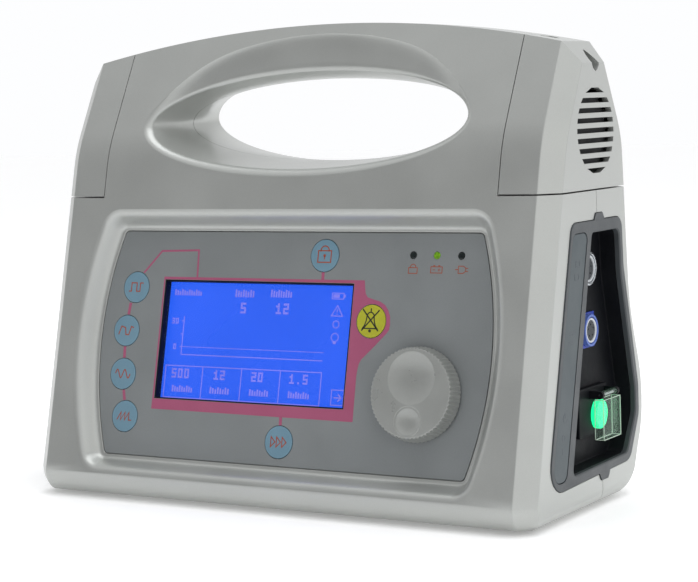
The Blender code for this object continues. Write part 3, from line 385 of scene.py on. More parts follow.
def carved(base, steps):
    """The base shape after a list of (operation, shape) Booleans, in millimetres."""
    target = scratch(base)
    others = []
    for operation, shape in steps:
        other = scratch(shape)
        modifier = target.modifiers.new("step", "BOOLEAN")
        modifier.operation = operation
        modifier.object = other
        modifier.solver = "EXACT"
        others.append(other)
    bpy.context.view_layer.update()
    graph = bpy.context.evaluated_depsgraph_get()
    mesh = bpy.data.meshes.new_from_object(target.evaluated_get(graph))
    shape = bmesh.new()
    shape.from_mesh(mesh)
    bpy.data.meshes.remove(mesh)
    for thing in [target, *others]:
        data = thing.data
        bpy.data.objects.remove(thing, do_unlink=True)
        bpy.data.meshes.remove(data)
    return shape


def piece(name, shape, look, body="case", matrix=BODY, angle=32.0, replaces=()):
    """A shown piece from a shape in millimetres, riding on a body."""
    bmesh.ops.transform(shape, matrix=matrix, verts=shape.verts)
    mesh = bpy.data.meshes.new(name)
    shape.to_mesh(mesh)
    shape.free()
    mesh.materials.append(LOOKS[look])
    mesh.shade_smooth()
    mesh.set_sharp_from_angle(angle=math.radians(angle))
    made = in_scene(name, mesh)
    weighted = made.modifiers.new("weighted_normals", "WEIGHTED_NORMAL")
    weighted.keep_sharp = True
    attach(made, body)
    if replaces:
        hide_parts(*replaces)
    return made


# ---------------------------------------------------------------- body shape


def past_kink(height):
    """How far a height is above the kink in the faces, blended over a short stretch."""
    past = min(max(height - (KINK - KINK_BLEND), 0.0), 2 * KINK_BLEND)
    return past * past / (4 * KINK_BLEND) + max(height - (KINK + KINK_BLEND), 0.0)


def front_depth(height):
    """Depth of the front face from the seam, with a soft fold where it leans back further."""
    if height < ROLL:
        drop = (ROLL - height) / (ROLL - FLOOR_CLEARANCE)
        return front_depth(ROLL) - 9.0 * (1.0 - math.sqrt(max(0.0, 1.0 - drop * drop)))
    lean = FRONT_AT_PARTING + FRONT_LEAN * (PARTING - height)
    return lean - (TOP_LEAN - FRONT_LEAN) * past_kink(height)


def rear_depth(height):
    """Depth of the rear face from the seam: a smooth curve through the profile, then the lean."""
    if height > KINK - KINK_BLEND:
        lean = REAR_AT_KINK + REAR_LEAN * (KINK - height)
        return lean - (TOP_LEAN - REAR_LEAN) * past_kink(height)
    heights, depths = REAR_PROFILE[:, 0], REAR_PROFILE[:, 1]
    slopes = np.gradient(depths, heights)
    k = int(np.clip(np.searchsorted(heights, height) - 1, 0, len(heights) - 2))
    span = heights[k + 1] - heights[k]
    t = (height - heights[k]) / span
    return float(
        (2 * t**3 - 3 * t**2 + 1) * depths[k]
        + (t**3 - 2 * t**2 + t) * span * slopes[k]
        + (-2 * t**3 + 3 * t**2) * depths[k + 1]
        + (t**3 - t**2) * span * slopes[k + 1]
    )


def face_depth(side, height):
    """Depth of the front (-1) or rear (+1) face from the seam."""
    return front_depth(height) if side < 0 else rear_depth(height)


FINE_HEIGHTS = (
    [1.5, 2.0, 3.0, 4.5, 6.5, 9.0, 11.2, ROLL]
    + list(np.linspace(18.0, 96.0, 14))
    + [106.0, 116.0, 135.0, 154.8, 168.0]
    + list(np.linspace(171.0, 189.0, 7))
    + [200.0, 212.0, 222.0, 230.0, 236.0, 243.0]
)
COARSE_HEIGHTS = [1.5, 5.0, ROLL, 22.0, 34.0, 46.0, 62.0, 80.0, 96.0, 116.0, PARTING, KINK, 232.0, 243.0]


def soft_corner(before, corner, after, radius, steps=3):
    """Points of a small arc in place of one corner of a section."""
    here = Vector(corner)
    a, b = Vector(before) - here, Vector(after) - here
    half = a.angle(b) / 2
    reach = min(radius / math.tan(half), 0.45 * a.length, 0.45 * b.length)
    first, last = here + a.normalized() * reach, here + b.normalized() * reach
    points = []
    for step in range(steps + 1):
        t = step / steps
        points.append((1 - t) ** 2 * first + 2 * t * (1 - t) * here + t * t * last)
    return [tuple(point) for point in points]


def body_form(sides, heights, inset=0.0, side_inset=0.0, seam=0.0, corner=0.0):
    """The body, or its front (-1) or rear (+1) half from the seam, less the insets."""
    rings = []
    for height in heights:
        width = HALF_WIDTH - side_inset
        corner_x, corner_y = EDGE_X - inset * 0.6, EDGE_Y - inset * 0.6
        ring = []
        for side in sides:
            depth = face_depth(side, height) - inset
            outer = (width, max(0.4, depth - corner_y))
            inner = (width - corner_x, depth)
            flank = [outer, inner]
            if corner:
                flank = soft_corner((width, outer[1] - 6.0), outer, inner, corner)
                flank += soft_corner(outer, inner, (0.0, depth), corner)
            flank += [(-x, y) for x, y in flank[::-1]]
            if len(sides) == 1:
                flank = [(width, seam)] + flank + [(-width, seam)]
            ring += [(-side * x, side * y) for x, y in flank]
        rings.append([(x, y, height) for x, y in ring])
    return loft(rings)


def arch(half_chord, steps, drop=0.0):
    """Points along the arched top of the handle, in the front view."""
    sagitta = HANDLE_TOP - SHOULDER_Z
    radius = (SHOULDER_X**2 + sagitta**2) / (2 * sagitta)
    points = []
    for step in range(steps + 1):
        x = half_chord * (2 * step / steps - 1)
        points.append((x, HANDLE_TOP - radius + math.sqrt(radius**2 - x * x) - drop))
    return points


def housing_outline(inset, steps=16, gap=0.15):
    """Front view of the housings, with rounded lower corners."""
    seam, shelf = CAP_SEAM - gap - inset, PARTING - gap - inset
    low, edge = FLOOR_CLEARANCE + inset, HALF_WIDTH + 3.0
    radius = 7.0
    corner = []
    for step in range(7):
        angle = math.pi / 2 * step / 6
        x = HALF_WIDTH - radius + radius * math.sin(angle)
        corner.append((x, low + radius - radius * math.cos(angle)))
    right_side = corner + [(edge, low + radius), (edge, shelf), (seam, shelf)]
    left_side = [(-x, z) for x, z in right_side[::-1]]
    return right_side + arch(seam, steps, inset)[::-1] + left_side


def smooth(value, low, high):
    """A smooth step from 0 at low to 1 at high."""
    t = min(1.0, max(0.0, (value - low) / (high - low)))
    return t * t * (3 - 2 * t)


LIP = 4.8
OPENING_HALF_WIDTH, OPENING_HALF_HEIGHT = 94.0, 23.5
WAIST_HALF_WIDTH, WAIST_HALF_HEIGHT = 90.0, 21.0
# How far the finger scoop reaches out from the opening, and how deep it is there.
SCOOP = [
    (19.9, -0.25), (18.4, 0.75), (15.6, 2.1), (11.8, 3.4), (8.2, 4.4), (5.4, 4.95), (3.7, 5.35),
    (2.1, 6.1), (0.7, 7.4), (0.0, 9.2),
]


def handle_opening(side, points=112):
    """The handle opening on one side: a rounded lip below and at the ends, and a finger scoop above."""
    stations = []
    for step in range(len(SCOOP)):
        angle = math.radians(8.0 + 82.0 * step / (len(SCOOP) - 1))
        lip = (LIP * (1 - math.sin(angle)), LIP * (1 - math.cos(angle)) - 0.05)
        stations.append((lip, SCOOP[step]))
    rings = []

    def ring(lip_out, scoop_out, lip_in, scoop_in):
        """One ring, with the lip's reach and depth below and the scoop's above."""
        made = []
        for index in range(points):
            angle = 2 * math.pi * index / points
            rise = max(0.0, math.sin(angle))
            share = smooth(rise, 0.10, 0.86)
            base = OPENING_HALF_HEIGHT + 0.9 * share
            tall = base + lip_out + (scoop_out - lip_out) * share
            height = OPENING_Z + tall * math.sin(angle)
            depth = lip_in + (scoop_in - lip_in) * share
            x = (OPENING_HALF_WIDTH + lip_out) * math.cos(angle)
            made.append((x, side * (face_depth(side, height) - depth), height))
        return made

    first_lip, first_scoop = stations[0]
    rings.append(ring(first_lip[0], first_scoop[0], -8.0, -8.0))
    for (lip_out, lip_in), (scoop_out, scoop_in) in stations:
        rings.append(ring(lip_out, scoop_out, lip_in, scoop_in))
    last = rings[-1]
    for step in range(1, 8):
        t = step / 7
        ease = math.sin(math.pi / 2 * t)
        row = []
        for index, (x, y, z) in enumerate(last):
            angle = 2 * math.pi * index / points
            waist_x = WAIST_HALF_WIDTH * math.cos(angle)
            waist_z = OPENING_Z + WAIST_HALF_HEIGHT * math.sin(angle)
            row.append((x + (waist_x - x) * ease, y * (1 - t), z + (waist_z - z) * ease))
        rings.append(row)
    rings.append([(x, -side * 1.5, z) for x, _, z in rings[-1]])
    return loft(rings)


# Half width, reach below, reach above and depth of the rings round the handle opening.
WALL_RINGS = ((98, 28, 44, -8.0), (96, 26, 44, 1.5), (93, 23, 30, 5.5), (91, 22, 23, 11.0))


def coarse_opening(side, extra):
    """The solid that leaves a wall round the handle opening."""
    rings = []
    for wide, below, above, depth in WALL_RINGS:
        ring = []
        for index in range(44):
            angle = 2 * math.pi * index / 44
            tall = (above if math.sin(angle) > 0 else below) + extra
            height = OPENING_Z + tall * math.sin(angle)
            y = side * (face_depth(side, height) - depth)
            ring.append(((wide + extra) * math.cos(angle), y, height))
        rings.append(ring)
    rings.append([(x, -side * 1.5, z) for x, _, z in rings[-1]])
    return loft(rings)


# ---------------------------------------------------------------- control panel frame

PANEL_DEPTH = 9.0
PANEL_Z = 79.5
PANEL_HALF_WIDTH, PANEL_HALF_HEIGHT = 116.0, 58.7
PANEL_CORNER, PANEL_SIDE_RADIUS = 2.5, 186.0
PANEL_ORIGIN = Vector(
    (0.0, -(FRONT_AT_PARTING + FRONT_LEAN * (PARTING - PANEL_Z)) + PANEL_DEPTH / math.cos(TILT), PANEL_Z)
)
PANEL = Matrix.Translation(PANEL_ORIGIN) @ Matrix.Rotation(math.pi / 2 - TILT, 4, "X")
PANEL_WORLD = BODY @ PANEL


def panel_ring(offset, height, arc=10):
    """The control panel's outline, moved out by offset, at a height along its normal."""
    half_height, corner = PANEL_HALF_HEIGHT + offset, PANEL_CORNER + offset
    side_radius = PANEL_SIDE_RADIUS + offset
    side_centre = PANEL_HALF_WIDTH - PANEL_SIDE_RADIUS
    rise = half_height - corner
    run = math.sqrt((side_radius - corner) ** 2 - rise**2)
    split = math.atan2(rise, run)
    quarter = []
    for step in range(arc + 1):
        angle = split * step / arc
        quarter.append((side_centre + side_radius * math.cos(angle), side_radius * math.sin(angle)))
    for step in range(1, arc):
        angle = split + (math.pi / 2 - split) * step / (arc - 1)
        quarter.append((side_centre + run + corner * math.cos(angle), rise + corner * math.sin(angle)))
    upper = quarter + [(-x, y) for x, y in quarter[::-1]]
    lower = [(-x, -y) for x, y in upper[1:-1]]
    return [(x, y, height) for x, y in upper + lower]


def panel_loft(steps, arc=10):
    """A skin over the panel's outline at several (offset, height) steps."""
    return placed(loft([panel_ring(offset, height, arc) for offset, height in steps]), PANEL)


# How far out each ring of the panel recess lies, and its height above the panel.
POCKET = [
    (0.45, -1.8), (0.45, -0.1), (0.6, 0.1), (0.95, 0.22), (1.5, 0.26), (2.2, 0.45), (3.0, 1.05),
    (3.9, 2.3), (4.9, 3.9), (5.9, 5.5), (6.8, 6.8), (7.6, 7.7), (8.4, 8.3), (9.3, 8.68),
    (10.3, 8.92), (11.3, 9.15), (12.0, 12.0),
]
LCD_CENTRE, LCD_SIZE = (-20.3, 2.4), (115.3, 62.1)
KEYS = {
    "mode_key_1": (-96.4, 29.0),
    "mode_key_2": (-100.1, 5.9),
    "mode_key_3": (-99.6, -16.9),
    "mode_key_4": (-95.7, -39.0),
    "lock_key": (18.9, 47.1),
    "confirm_key": (1.6, -46.8),
    "alarm_key": (48.9, 15.1),
}
LAMPS = {"lock_lamp": 69.4, "battery_lamp": 82.4, "mains_lamp": 95.8}
LAMP_Y = 47.9
KNOB = (79.0, -19.5)
KEY_HOLE, LAMP_HOLE, SHAFT_HOLE = 8.4, 1.95, 3.3


def panel_holes():
    """Holes for the display, the keys, the lamps and the dial's shaft."""
    half = Vector((LCD_SIZE[0] / 2, LCD_SIZE[1] / 2))
    low = (LCD_CENTRE[0] - half.x, LCD_CENTRE[1] - half.y, -8.0)
    high = (LCD_CENTRE[0] + half.x, LCD_CENTRE[1] + half.y, 6.0)
    shapes = [block(low, high)]
    holes = [(at, KEY_HOLE) for at in KEYS.values()]
    holes += [((x, LAMP_Y), LAMP_HOLE) for x in LAMPS.values()]
    for (x, y), radius in [*holes, (KNOB, SHAFT_HOLE)]:
        hole = lathe([(0.0, -8.0), (radius, -8.0), (radius, 6.0), (0.0, 6.0)], 48)
        shapes.append(placed(hole, Matrix.Translation((x, y, 0.0))))
    return gathered(shapes)


# ---------------------------------------------------------------- bays

FRAME_OUTLINE = [
    (-29.0, 140.5, 6.0), (28.3, 140.5, 6.0), (29.5, 116.0, 30.0), (44.5, 55.0, 20.0),
    (44.7, 40.0, 12.0), (33.0, 18.0, 8.0), (-61.0, 15.5, 12.0),
]
BAY_OUTLINE = [
    (-6.8, 134.6, 3.0), (24.8, 134.6, 4.0), (26.0, 112.0, 30.0), (40.6, 53.0, 18.0),
    (40.6, 41.0, 12.0), (29.0, 22.0, 5.0), (-34.3, 21.0, 3.0),
]
STRIP_OUTLINE = [(-27.6, 135.2, 4.0), (-11.7, 135.2, 3.5), (-41.5, 20.4, 5.0), (-56.0, 20.4, 6.0)]
FRAME_THICKNESS = 2.9
FRAME_SEAT = HALF_WIDTH + 0.6 - FRAME_THICKNESS
FRAME_TOP = FRAME_SEAT + FRAME_THICKNESS
TAB_Y, TAB_HALF = 2.0, 5.0
BAY_FLOORS = {1: 136.0, -1: 124.6}
# Height of each gas port and radius of its hole in the left bay's floor.
PORT_Y = 12.5
PORTS = {"oxygen_inlet": (118.0, 4.3), "patient_outlet": (66.0, 7.8), "pressure_port": (38.0, 2.7)}
# Where cutters end, past the body's side and past its faces.
PAST_SIDE = 152.0
PAST_FACES = [(0.0, -90.0), (0.0, 90.0)]


def tab_outline(upper, extra=0.0):
    """The small half-round tab of the bay frame on the seam, above or below it."""
    base, tip = (138.0, 143.7 + extra) if upper else (19.0, 13.6 - extra)
    half = TAB_HALF + extra
    shoulder = (base + 2 * tip) / 3
    return [
        (TAB_Y - half - 2.0, base), (TAB_Y - half, shoulder), (TAB_Y - half + 1.4, tip),
        (TAB_Y + half - 1.4, tip), (TAB_Y + half, shoulder), (TAB_Y + half + 2.0, base),
    ]


def handed(shape, side):
    """A shape made for the right side, mirrored when it is for the left."""
    if side < 0:
        bmesh.ops.scale(shape, vec=(-1.0, 1.0, 1.0), verts=shape.verts)
        bmesh.ops.reverse_faces(shape, faces=shape.faces)
    return shape


def bay_cuts(side):
    """The seat of a bay's frame and the hole for its tub."""
    seat = [(0.0, FRAME_SEAT - GAP), (0.0, PAST_SIDE)]
    hole = [(0.0, 126.0 if side > 0 else 118.0), (0.0, PAST_SIDE)]
    shapes = [
        prism(grown(rounded(FRAME_OUTLINE), GAP), seat, "X"),
        prism(tab_outline(True, GAP), seat, "X"),
        prism(tab_outline(False, GAP), seat, "X"),
        prism(grown(rounded(BAY_OUTLINE), 1.8), hole, "X"),
    ]
    return [("DIFFERENCE", handed(shape, side)) for shape in shapes]


# ---------------------------------------------------------------- shells


SCREW_PLACES = [(x, z) for z in (11.0, 150.0) for x in (-108.0, 108.0)]
SCREW_SEAT = 12.0
FEET_X, FEET_Y = (-118.0, 118.0), (-58.0, 18.0)
FOOT_RADIUS = 7.0
DOOR_LOW, DOOR_HIGH = (-62.0, -53.0), (62.0, 9.0)


def turned_to(direction):
    """The rotation that takes +Z to a direction."""
    return {
        "+Y": Matrix.Rotation(-math.pi / 2, 4, "X"),
        "-Y": Matrix.Rotation(math.pi / 2, 4, "X"),
        "+X": Matrix.Rotation(math.pi / 2, 4, "Y"),
        "-X": Matrix.Rotation(-math.pi / 2, 4, "Y"),
    }[direction]


def rod(radius, start, end, direction, at=(0.0, 0.0, 0.0), segments=24):
    """A round rod along a direction, from start to end past a point."""
    profile = [(0.0, start), (radius, start), (radius, end), (0.0, end)]
    return lathe(profile, segments, Matrix.Translation(at) @ turned_to(direction))


def shell(side):
    """One housing: a hollow half body with the handle opening and its bay holes."""
    hollow = carved(
        body_form([side], COARSE_HEIGHTS, WALL, 5.0, -5.0),
        [
            ("INTERSECT", prism(housing_outline(WALL, 8), PAST_FACES, "Y")),
            ("DIFFERENCE", coarse_opening(side, WALL)),
        ],
    )
    if side < 0:
        hollow = carved(hollow, [("DIFFERENCE", panel_loft([(3.0, -4.0), (13.0, 7.0)], 4))])
    steps = [
        ("INTERSECT", prism(housing_outline(0.0, 48, 0.2), PAST_FACES, "Y")),
        ("DIFFERENCE", hollow),
        ("DIFFERENCE", handle_opening(side)),
    ]
    steps += bay_cuts(1) + bay_cuts(-1)
    if side < 0:
        steps += [("DIFFERENCE", panel_loft(POCKET, 24)), ("DIFFERENCE", placed(panel_holes(), PANEL))]
    else:
        for x, z in SCREW_PLACES:
            steps.append(("DIFFERENCE", rod(3.6, SCREW_SEAT, 70.0, "+Y", (x, 0.0, z))))
    doorway = block(
        (DOOR_LOW[0] - GAP, DOOR_LOW[1] - GAP, -2.0), (DOOR_HIGH[0] + GAP, DOOR_HIGH[1] + GAP, 3.5)
    )
    steps.append(("DIFFERENCE", doorway))
    wide = FOOT_RADIUS + GAP
    for x in FEET_X:
        for y in FEET_Y:
            well = [(0, -2.0), (wide, -2.0), (wide, 3.0), (0, 3.0)]
            steps.append(("DIFFERENCE", lathe(well, 32, Matrix.Translation((x, y, 0)))))
    return carved(body_form([side], FINE_HEIGHTS, seam=0.15, corner=1.3), steps)


piece("front_shell", shell(-1), "paint", replaces=["front_housing"])
piece("rear_shell", shell(1), "paint", replaces=["rear_housing"])


def cap_outline():
    """Front view of the right shoulder cap."""
    seam, shelf, edge = CAP_SEAM + 0.25, PARTING + 0.55, HALF_WIDTH + 3.0
    slope = (SHOULDER_Z - BEVEL_Z) / (HALF_WIDTH - SHOULDER_X)
    past_edge = BEVEL_Z - slope * (edge - HALF_WIDTH)
    top = [point for point in arch(SHOULDER_X, 40) if point[0] > seam + 1.0]
    return [(seam, shelf), (edge, shelf), (edge, past_edge)] + top[::-1] + [
        (seam, arch(seam, 2)[-1][1])
    ]


VENT_Y, VENT_Z, VENT_RADIUS = 1.0, 183.3, 20.8
VENT_SLOTS, VENT_PITCH, VENT_HALF_SLOT = 9, 4.8, 1.2


def vent_slots():
    """The slots of a round vent, cut off by its circle."""
    shapes = []
    for index in range(VENT_SLOTS):
        offset = (index - VENT_SLOTS // 2) * VENT_PITCH
        left_end, right_end = [], []
        for edge in (offset - VENT_HALF_SLOT, offset + VENT_HALF_SLOT):
            half = math.sqrt(VENT_RADIUS**2 - edge**2)
            left_end.append((VENT_Y - half, VENT_Z + edge))
            right_end.append((VENT_Y + half, VENT_Z + edge))
        outline = [left_end[0], *right_end, left_end[1]]
        shapes.append(prism(outline, [(0.0, 138.0), (0.0, PAST_SIDE)], "X"))
    return gathered(shapes)


# The strap channel bends round a point, as (x, z). Each pair is for its top end and its mouth.
STRAP_CENTRE = (142.0, 238.5)
STRAP_MIDDLE, STRAP_INWARD, STRAP_OUTWARD = (20.6, 23.5), (3.4, 7.1), (3.4, 3.9)
STRAP_HALF_WIDTH = (4.4, 3.9)
STRAP_TURN, STRAP_SPREAD = 120.0, 70.0


def strap_slot(points=40, sections=37):
    """A curved channel from the top of the shoulder to a leaf-shaped mouth on its corner."""
    rings = []
    for section in range(sections):
        turn = STRAP_TURN * section / (sections - 1)
        share = min(1.0, turn / STRAP_SPREAD)
        middle, inward, outward, half = (
            first + (last - first) * share
            for first, last in (STRAP_MIDDLE, STRAP_INWARD, STRAP_OUTWARD, STRAP_HALF_WIDTH)
        )
        angle = math.radians(180.0 + turn)
        ring = []
        for step in range(points):
            around = 2 * math.pi * (step + 0.5) / points
            along, across = math.cos(around), math.sin(around)
            radius = middle - along * (inward if along > 0 else outward)
            y = share * (2.4 - 1.7 * max(0.0, along)) + half * across * abs(across) ** 0.6
            x = STRAP_CENTRE[0] + radius * math.cos(angle)
            ring.append((x, y, STRAP_CENTRE[1] + radius * math.sin(angle)))
        rings.append(ring)
    return loft(rings)


# Height, front and back of the hollow in a shoulder cap.
CAP_HOLLOW = ((140.0, 46.0, 40.0), (PARTING, 42.5, 38.0), (KINK, 36.4, 36.4), (204.5, 23.5, 23.5))


def cap(name, side):
    """One shoulder cap, with its vent and strap channel."""
    hollow = []
    low_x, high_x = CAP_SEAM + 3.3, HALF_WIDTH - WALL
    for height, front, back in CAP_HOLLOW:
        ring = [(low_x, -front), (high_x - 6.0, -front), (high_x, 6.0 - front)]
        ring += [(high_x, back - 6.0), (high_x - 6.0, back), (low_x, back)]
        hollow.append([(x, y, height) for x, y in ring])
    steps = [
        ("INTERSECT", handed(prism(cap_outline(), PAST_FACES, "Y"), side)),
        ("DIFFERENCE", handed(loft(hollow), side)),
        ("DIFFERENCE", handed(vent_slots(), side)),
        ("DIFFERENCE", handed(strap_slot(), side)),
    ]
    shape = carved(body_form([-1, 1], FINE_HEIGHTS, corner=1.3), steps)
    piece(f"{name}_shell", shape, "paint", replaces=[name])


cap("right_shoulder_cap", 1)
cap("left_shoulder_cap", -1)


# ---------------------------------------------------------------- side bays


def bay_frame(side):
    """The dark frame round a bay, with its two small tabs on the seam."""
    name = "right" if side > 0 else "left"
    edges = [(0.0, FRAME_SEAT), (0.0, FRAME_TOP - 0.55), (0.17, FRAME_TOP - 0.15), (0.55, FRAME_TOP)]
    steps = [
        ("UNION", prism(tab_outline(upper), [(0.0, FRAME_SEAT), (0.0, FRAME_TOP - 0.06)], "X"))
        for upper in (True, False)
    ]
    mouth = [(0.0, 110.0), (0.0, FRAME_TOP - 0.6), (-0.6, FRAME_TOP + 0.02), (-0.6, PAST_SIDE)]
    steps.append(("DIFFERENCE", prism(rounded(BAY_OUTLINE, 10), mouth, "X")))
    if side > 0:
        seat = grown(rounded(STRIP_OUTLINE, 8), GAP)
        steps.append(("DIFFERENCE", prism(seat, [(0.0, FRAME_SEAT + 1.6), (0.0, PAST_SIDE)], "X")))
    shape = carved(prism(rounded(FRAME_OUTLINE, 12), edges, "X"), steps)
    piece(f"{name}_frame", handed(shape, side), "charcoal", replaces=[f"{name}_bay_frame"])


def bay_tub(side, floor):
    """The black tub of a bay, with holes for the gas ports on the left."""
    name = "right" if side > 0 else "left"
    outline = rounded(BAY_OUTLINE, 10)
    outer = prism(grown(outline, 1.5), [(0.0, floor - 1.5), (0.0, FRAME_SEAT - GAP)], "X")
    inside = [(0.8, floor), (0.25, floor + 0.25), (0.0, floor + 0.8), (0.0, 150.0)]
    steps = [("DIFFERENCE", prism(outline, inside, "X"))]
    if side < 0:
        for z, stem in PORTS.values():
            hole = rod(stem, floor - 3.0, floor + 3.0, "+X", (0.0, PORT_Y, z), 40)
            steps.append(("DIFFERENCE", hole))
    shape = carved(outer, steps)
    piece(f"{name}_tub", handed(shape, side), "black", replaces=[f"{name}_bay_tub"])


for side, floor in BAY_FLOORS.items():
    bay_frame(side)
    bay_tub(side, floor)
strip_levels = [(0.0, FRAME_SEAT + 1.9), (0.0, FRAME_TOP - 0.4), (0.2, FRAME_TOP - 0.2)]
piece(
    "label_strip", prism(rounded(STRIP_OUTLINE, 8), strip_levels, "X"), "strip",
    replaces=["right_label_strip"],
)


# ---------------------------------------------------------------- flat artwork


def ribbon(points, width, low, high, closed=False):
    """A thin raised line of one width through the points, with mitred corners."""
    path = [Vector(point) for point in points]
    shape = bmesh.new()
    rows = []
    for index, point in enumerate(path):
        before = path[index - 1] if index or closed else point
        after = path[(index + 1) % len(path)] if index < len(path) - 1 or closed else point
        into = (point - before).normalized() if before != point else (after - point).normalized()
        out = (after - point).normalized() if after != point else into
        normal_in, normal_out = Vector((-into.y, into.x)), Vector((-out.y, out.x))
        mitre = (normal_in + normal_out).normalized()
        reach = mitre * (width / 2 / max(0.4, mitre.dot(normal_in)))
        left, right_edge = point + reach, point - reach
        rows.append(
            [
                shape.verts.new((*left, low)), shape.verts.new((*right_edge, low)),
                shape.verts.new((*right_edge, high)), shape.verts.new((*left, high)),
            ]
        )
    pairs = list(zip(rows, rows[1:])) + ([(rows[-1], rows[0])] if closed else [])
    for here, following in pairs:
        bridge(shape, here, following)
    if not closed:
        shape.faces.new(rows[0])
        shape.faces.new(rows[-1])
    bmesh.ops.recalc_face_normals(shape, faces=shape.faces)
    return shape


def patch(points, low, high):
    """A flat shape between two heights."""
    return prism(points, [(0.0, low), (0.0, high)])


def rectangle(x0, y0, x1, y1):
    return [(x0, y0), (x1, y0), (x1, y1), (x0, y1)]


def circle(x, y, radius, steps=32):
    turn = 2 * math.pi / steps
    return [(x + radius * math.cos(turn * k), y + radius * math.sin(turn * k)) for k in range(steps)]


INK = (-0.02, 0.05)


def artwork(name, shapes, look, body="case", matrix=PANEL_WORLD):
    """Thin printed shapes as one piece."""
    piece(name, gathered(shapes), look, body, matrix, 20.0)


# ---------------------------------------------------------------- control panel

face = carved(
    loft([panel_ring(0.0, -1.5, 28), panel_ring(0.0, -0.12, 28), panel_ring(-0.12, 0.0, 28)]),
    [("DIFFERENCE", panel_holes())],
)
piece("panel_face", face, "overlay", "case", PANEL_WORLD, 25.0, ["panel_overlay"])

PINK_EDGE = [
    (-78.9, 34.9), (-79.1, -34.2), (43.3, -34.5), (43.1, -12.0), (43.5, -8.2), (43.9, -6.1), (45.0, -3.9),
    (51.9, 2.9), (58.2, 9.6), (59.4, 11.3), (59.6, 13.9), (59.3, 17.6), (57.9, 20.8), (55.8, 23.3),
    (52.9, 24.9), (48.5, 26.0), (45.7, 26.8), (44.4, 28.5), (43.7, 31.8), (43.2, 35.1),
]
pink = carved(
    patch(PINK_EDGE, *INK),
    [
        ("DIFFERENCE", patch(rectangle(-78.1, -28.8, 37.5, 33.6), -1.0, 1.0)),
        ("DIFFERENCE", patch(circle(*KEYS["alarm_key"], 8.5, 64), -1.0, 1.0)),
    ],
)
links = [
    ribbon([(-92.5, 36.7), (-81.9, 48.4), (-58.4, 49.0), (-57.8, 34.9)], 1.0, *INK),
    ribbon([(-99.2, 20.6), (-99.9, 14.4)], 1.7, *INK),
    ribbon([(-100.2, -2.5), (-99.9, -8.5)], 1.7, *INK),
    ribbon([(-98.2, -25.3), (-97.0, -30.6)], 1.7, *INK),
    ribbon([(18.7, 38.7), (18.8, 34.9)], 1.7, *INK),
    ribbon([(1.4, -34.3), (1.6, -38.4)], 1.7, *INK),
]
artwork("pink_frame", [pink, *links], "pink")


def key(name, at, look):
    """A round key's domed film."""
    profile = [
        (0.0, -3.2), (8.0, -3.2), (8.0, -0.3), (8.1, -0.1), (8.1, 0.12), (7.98, 0.28), (7.7, 0.35),
        (6.0, 0.36), (3.0, 0.38), (0.0, 0.39),
    ]
    shape = lathe(profile, 72, Matrix.Translation((*at, 0.0)))
    piece(f"{name}_film", shape, look, name, PANEL_WORLD, 25.0, [name])


for name, at in KEYS.items():
    bell = name == "alarm_key"
    key(name, at, "bell" if bell else "key")

KEY_INK = (0.33, 0.43)


def wave(points, at):
    """A breathing pattern drawn on a key."""
    return ribbon([(at[0] + x, at[1] + y) for x, y in points], 0.55, *KEY_INK)


WAVES = {
    "mode_key_1": [
        (-4.6, -2.2), (-3.0, -2.2), (-3.0, 2.2), (0.4, 2.2), (0.4, -2.2), (2.6, -2.2), (2.6, 2.2),
        (4.6, 2.2),
    ],
    "mode_key_2": [(-4.8, -2.2), (-3.2, 2.2), (-0.6, 1.4), (0.0, -2.2), (1.8, -2.2), (3.2, 2.2), (4.8, 1.6)],
    "mode_key_3": [(-4.8 + 0.4 * k, 2.2 * math.sin(2 * math.pi * k / 12)) for k in range(25)],
    "mode_key_4": [
        (-4.8, -2.0), (-2.4, 2.0), (-2.4, -2.0), (0.2, 2.0), (0.2, -2.0), (2.8, 2.0), (2.8, -2.0),
        (4.6, -2.0),
    ],
}
for name, points in WAVES.items():
    artwork(f"{name}_mark", [wave(points, KEYS[name])], "brown", name)

lock_x, lock_y = KEYS["lock_key"]
shackle = [(lock_x - 2.4, lock_y + 2.0)] + [
    (lock_x - 2.4 * math.cos(math.pi * k / 10), lock_y + 2.4 + 2.4 * math.sin(math.pi * k / 10))
    for k in range(11)
] + [(lock_x + 2.4, lock_y + 2.0)]
artwork(
    "lock_key_mark",
    [
        ribbon(rectangle(lock_x - 3.8, lock_y - 3.4, lock_x + 3.8, lock_y + 2.4), 0.55, *KEY_INK, True),
        ribbon(shackle, 0.55, *KEY_INK),
        patch(circle(lock_x, lock_y - 0.1, 0.75, 16), *KEY_INK),
        ribbon([(lock_x, lock_y - 0.2), (lock_x, lock_y - 2.0)], 0.5, *KEY_INK),
    ],
    "brown", "lock_key",
)
confirm_x, confirm_y = KEYS["confirm_key"]
artwork(
    "confirm_key_mark",
    [
        ribbon(
            [
                (confirm_x + x - 1.2, confirm_y - 2.5), (confirm_x + x + 1.3, confirm_y),
                (confirm_x + x - 1.2, confirm_y + 2.5),
            ],
            0.5, *KEY_INK, True,
        )
        for x in (-3.3, 0.0, 3.3)
    ],
    "brown", "confirm_key",
)
bell_shape = [(44.4, 11.5), (45.4, 12.8), (46.2, 15.2), (46.6, 18.2), (47.5, 19.2), (48.45, 19.5)]
bell_shape += [(97.0 - x, y) for x, y in bell_shape[::-1]]
artwork(
    "alarm_key_mark",
    [
        ribbon(bell_shape, 0.6, *KEY_INK, True),
        ribbon([(43.9, 20.9), (53.3, 10.4)], 0.7, *KEY_INK),
        ribbon([(53.3, 20.6), (43.9, 10.4)], 0.7, *KEY_INK),
        ribbon([(48.6, 21.4), (48.6, 19.3)], 0.6, *KEY_INK),
        patch(circle(48.6, 10.3, 0.75, 16), *KEY_INK),
    ],
    "black_ink", "alarm_key",
)

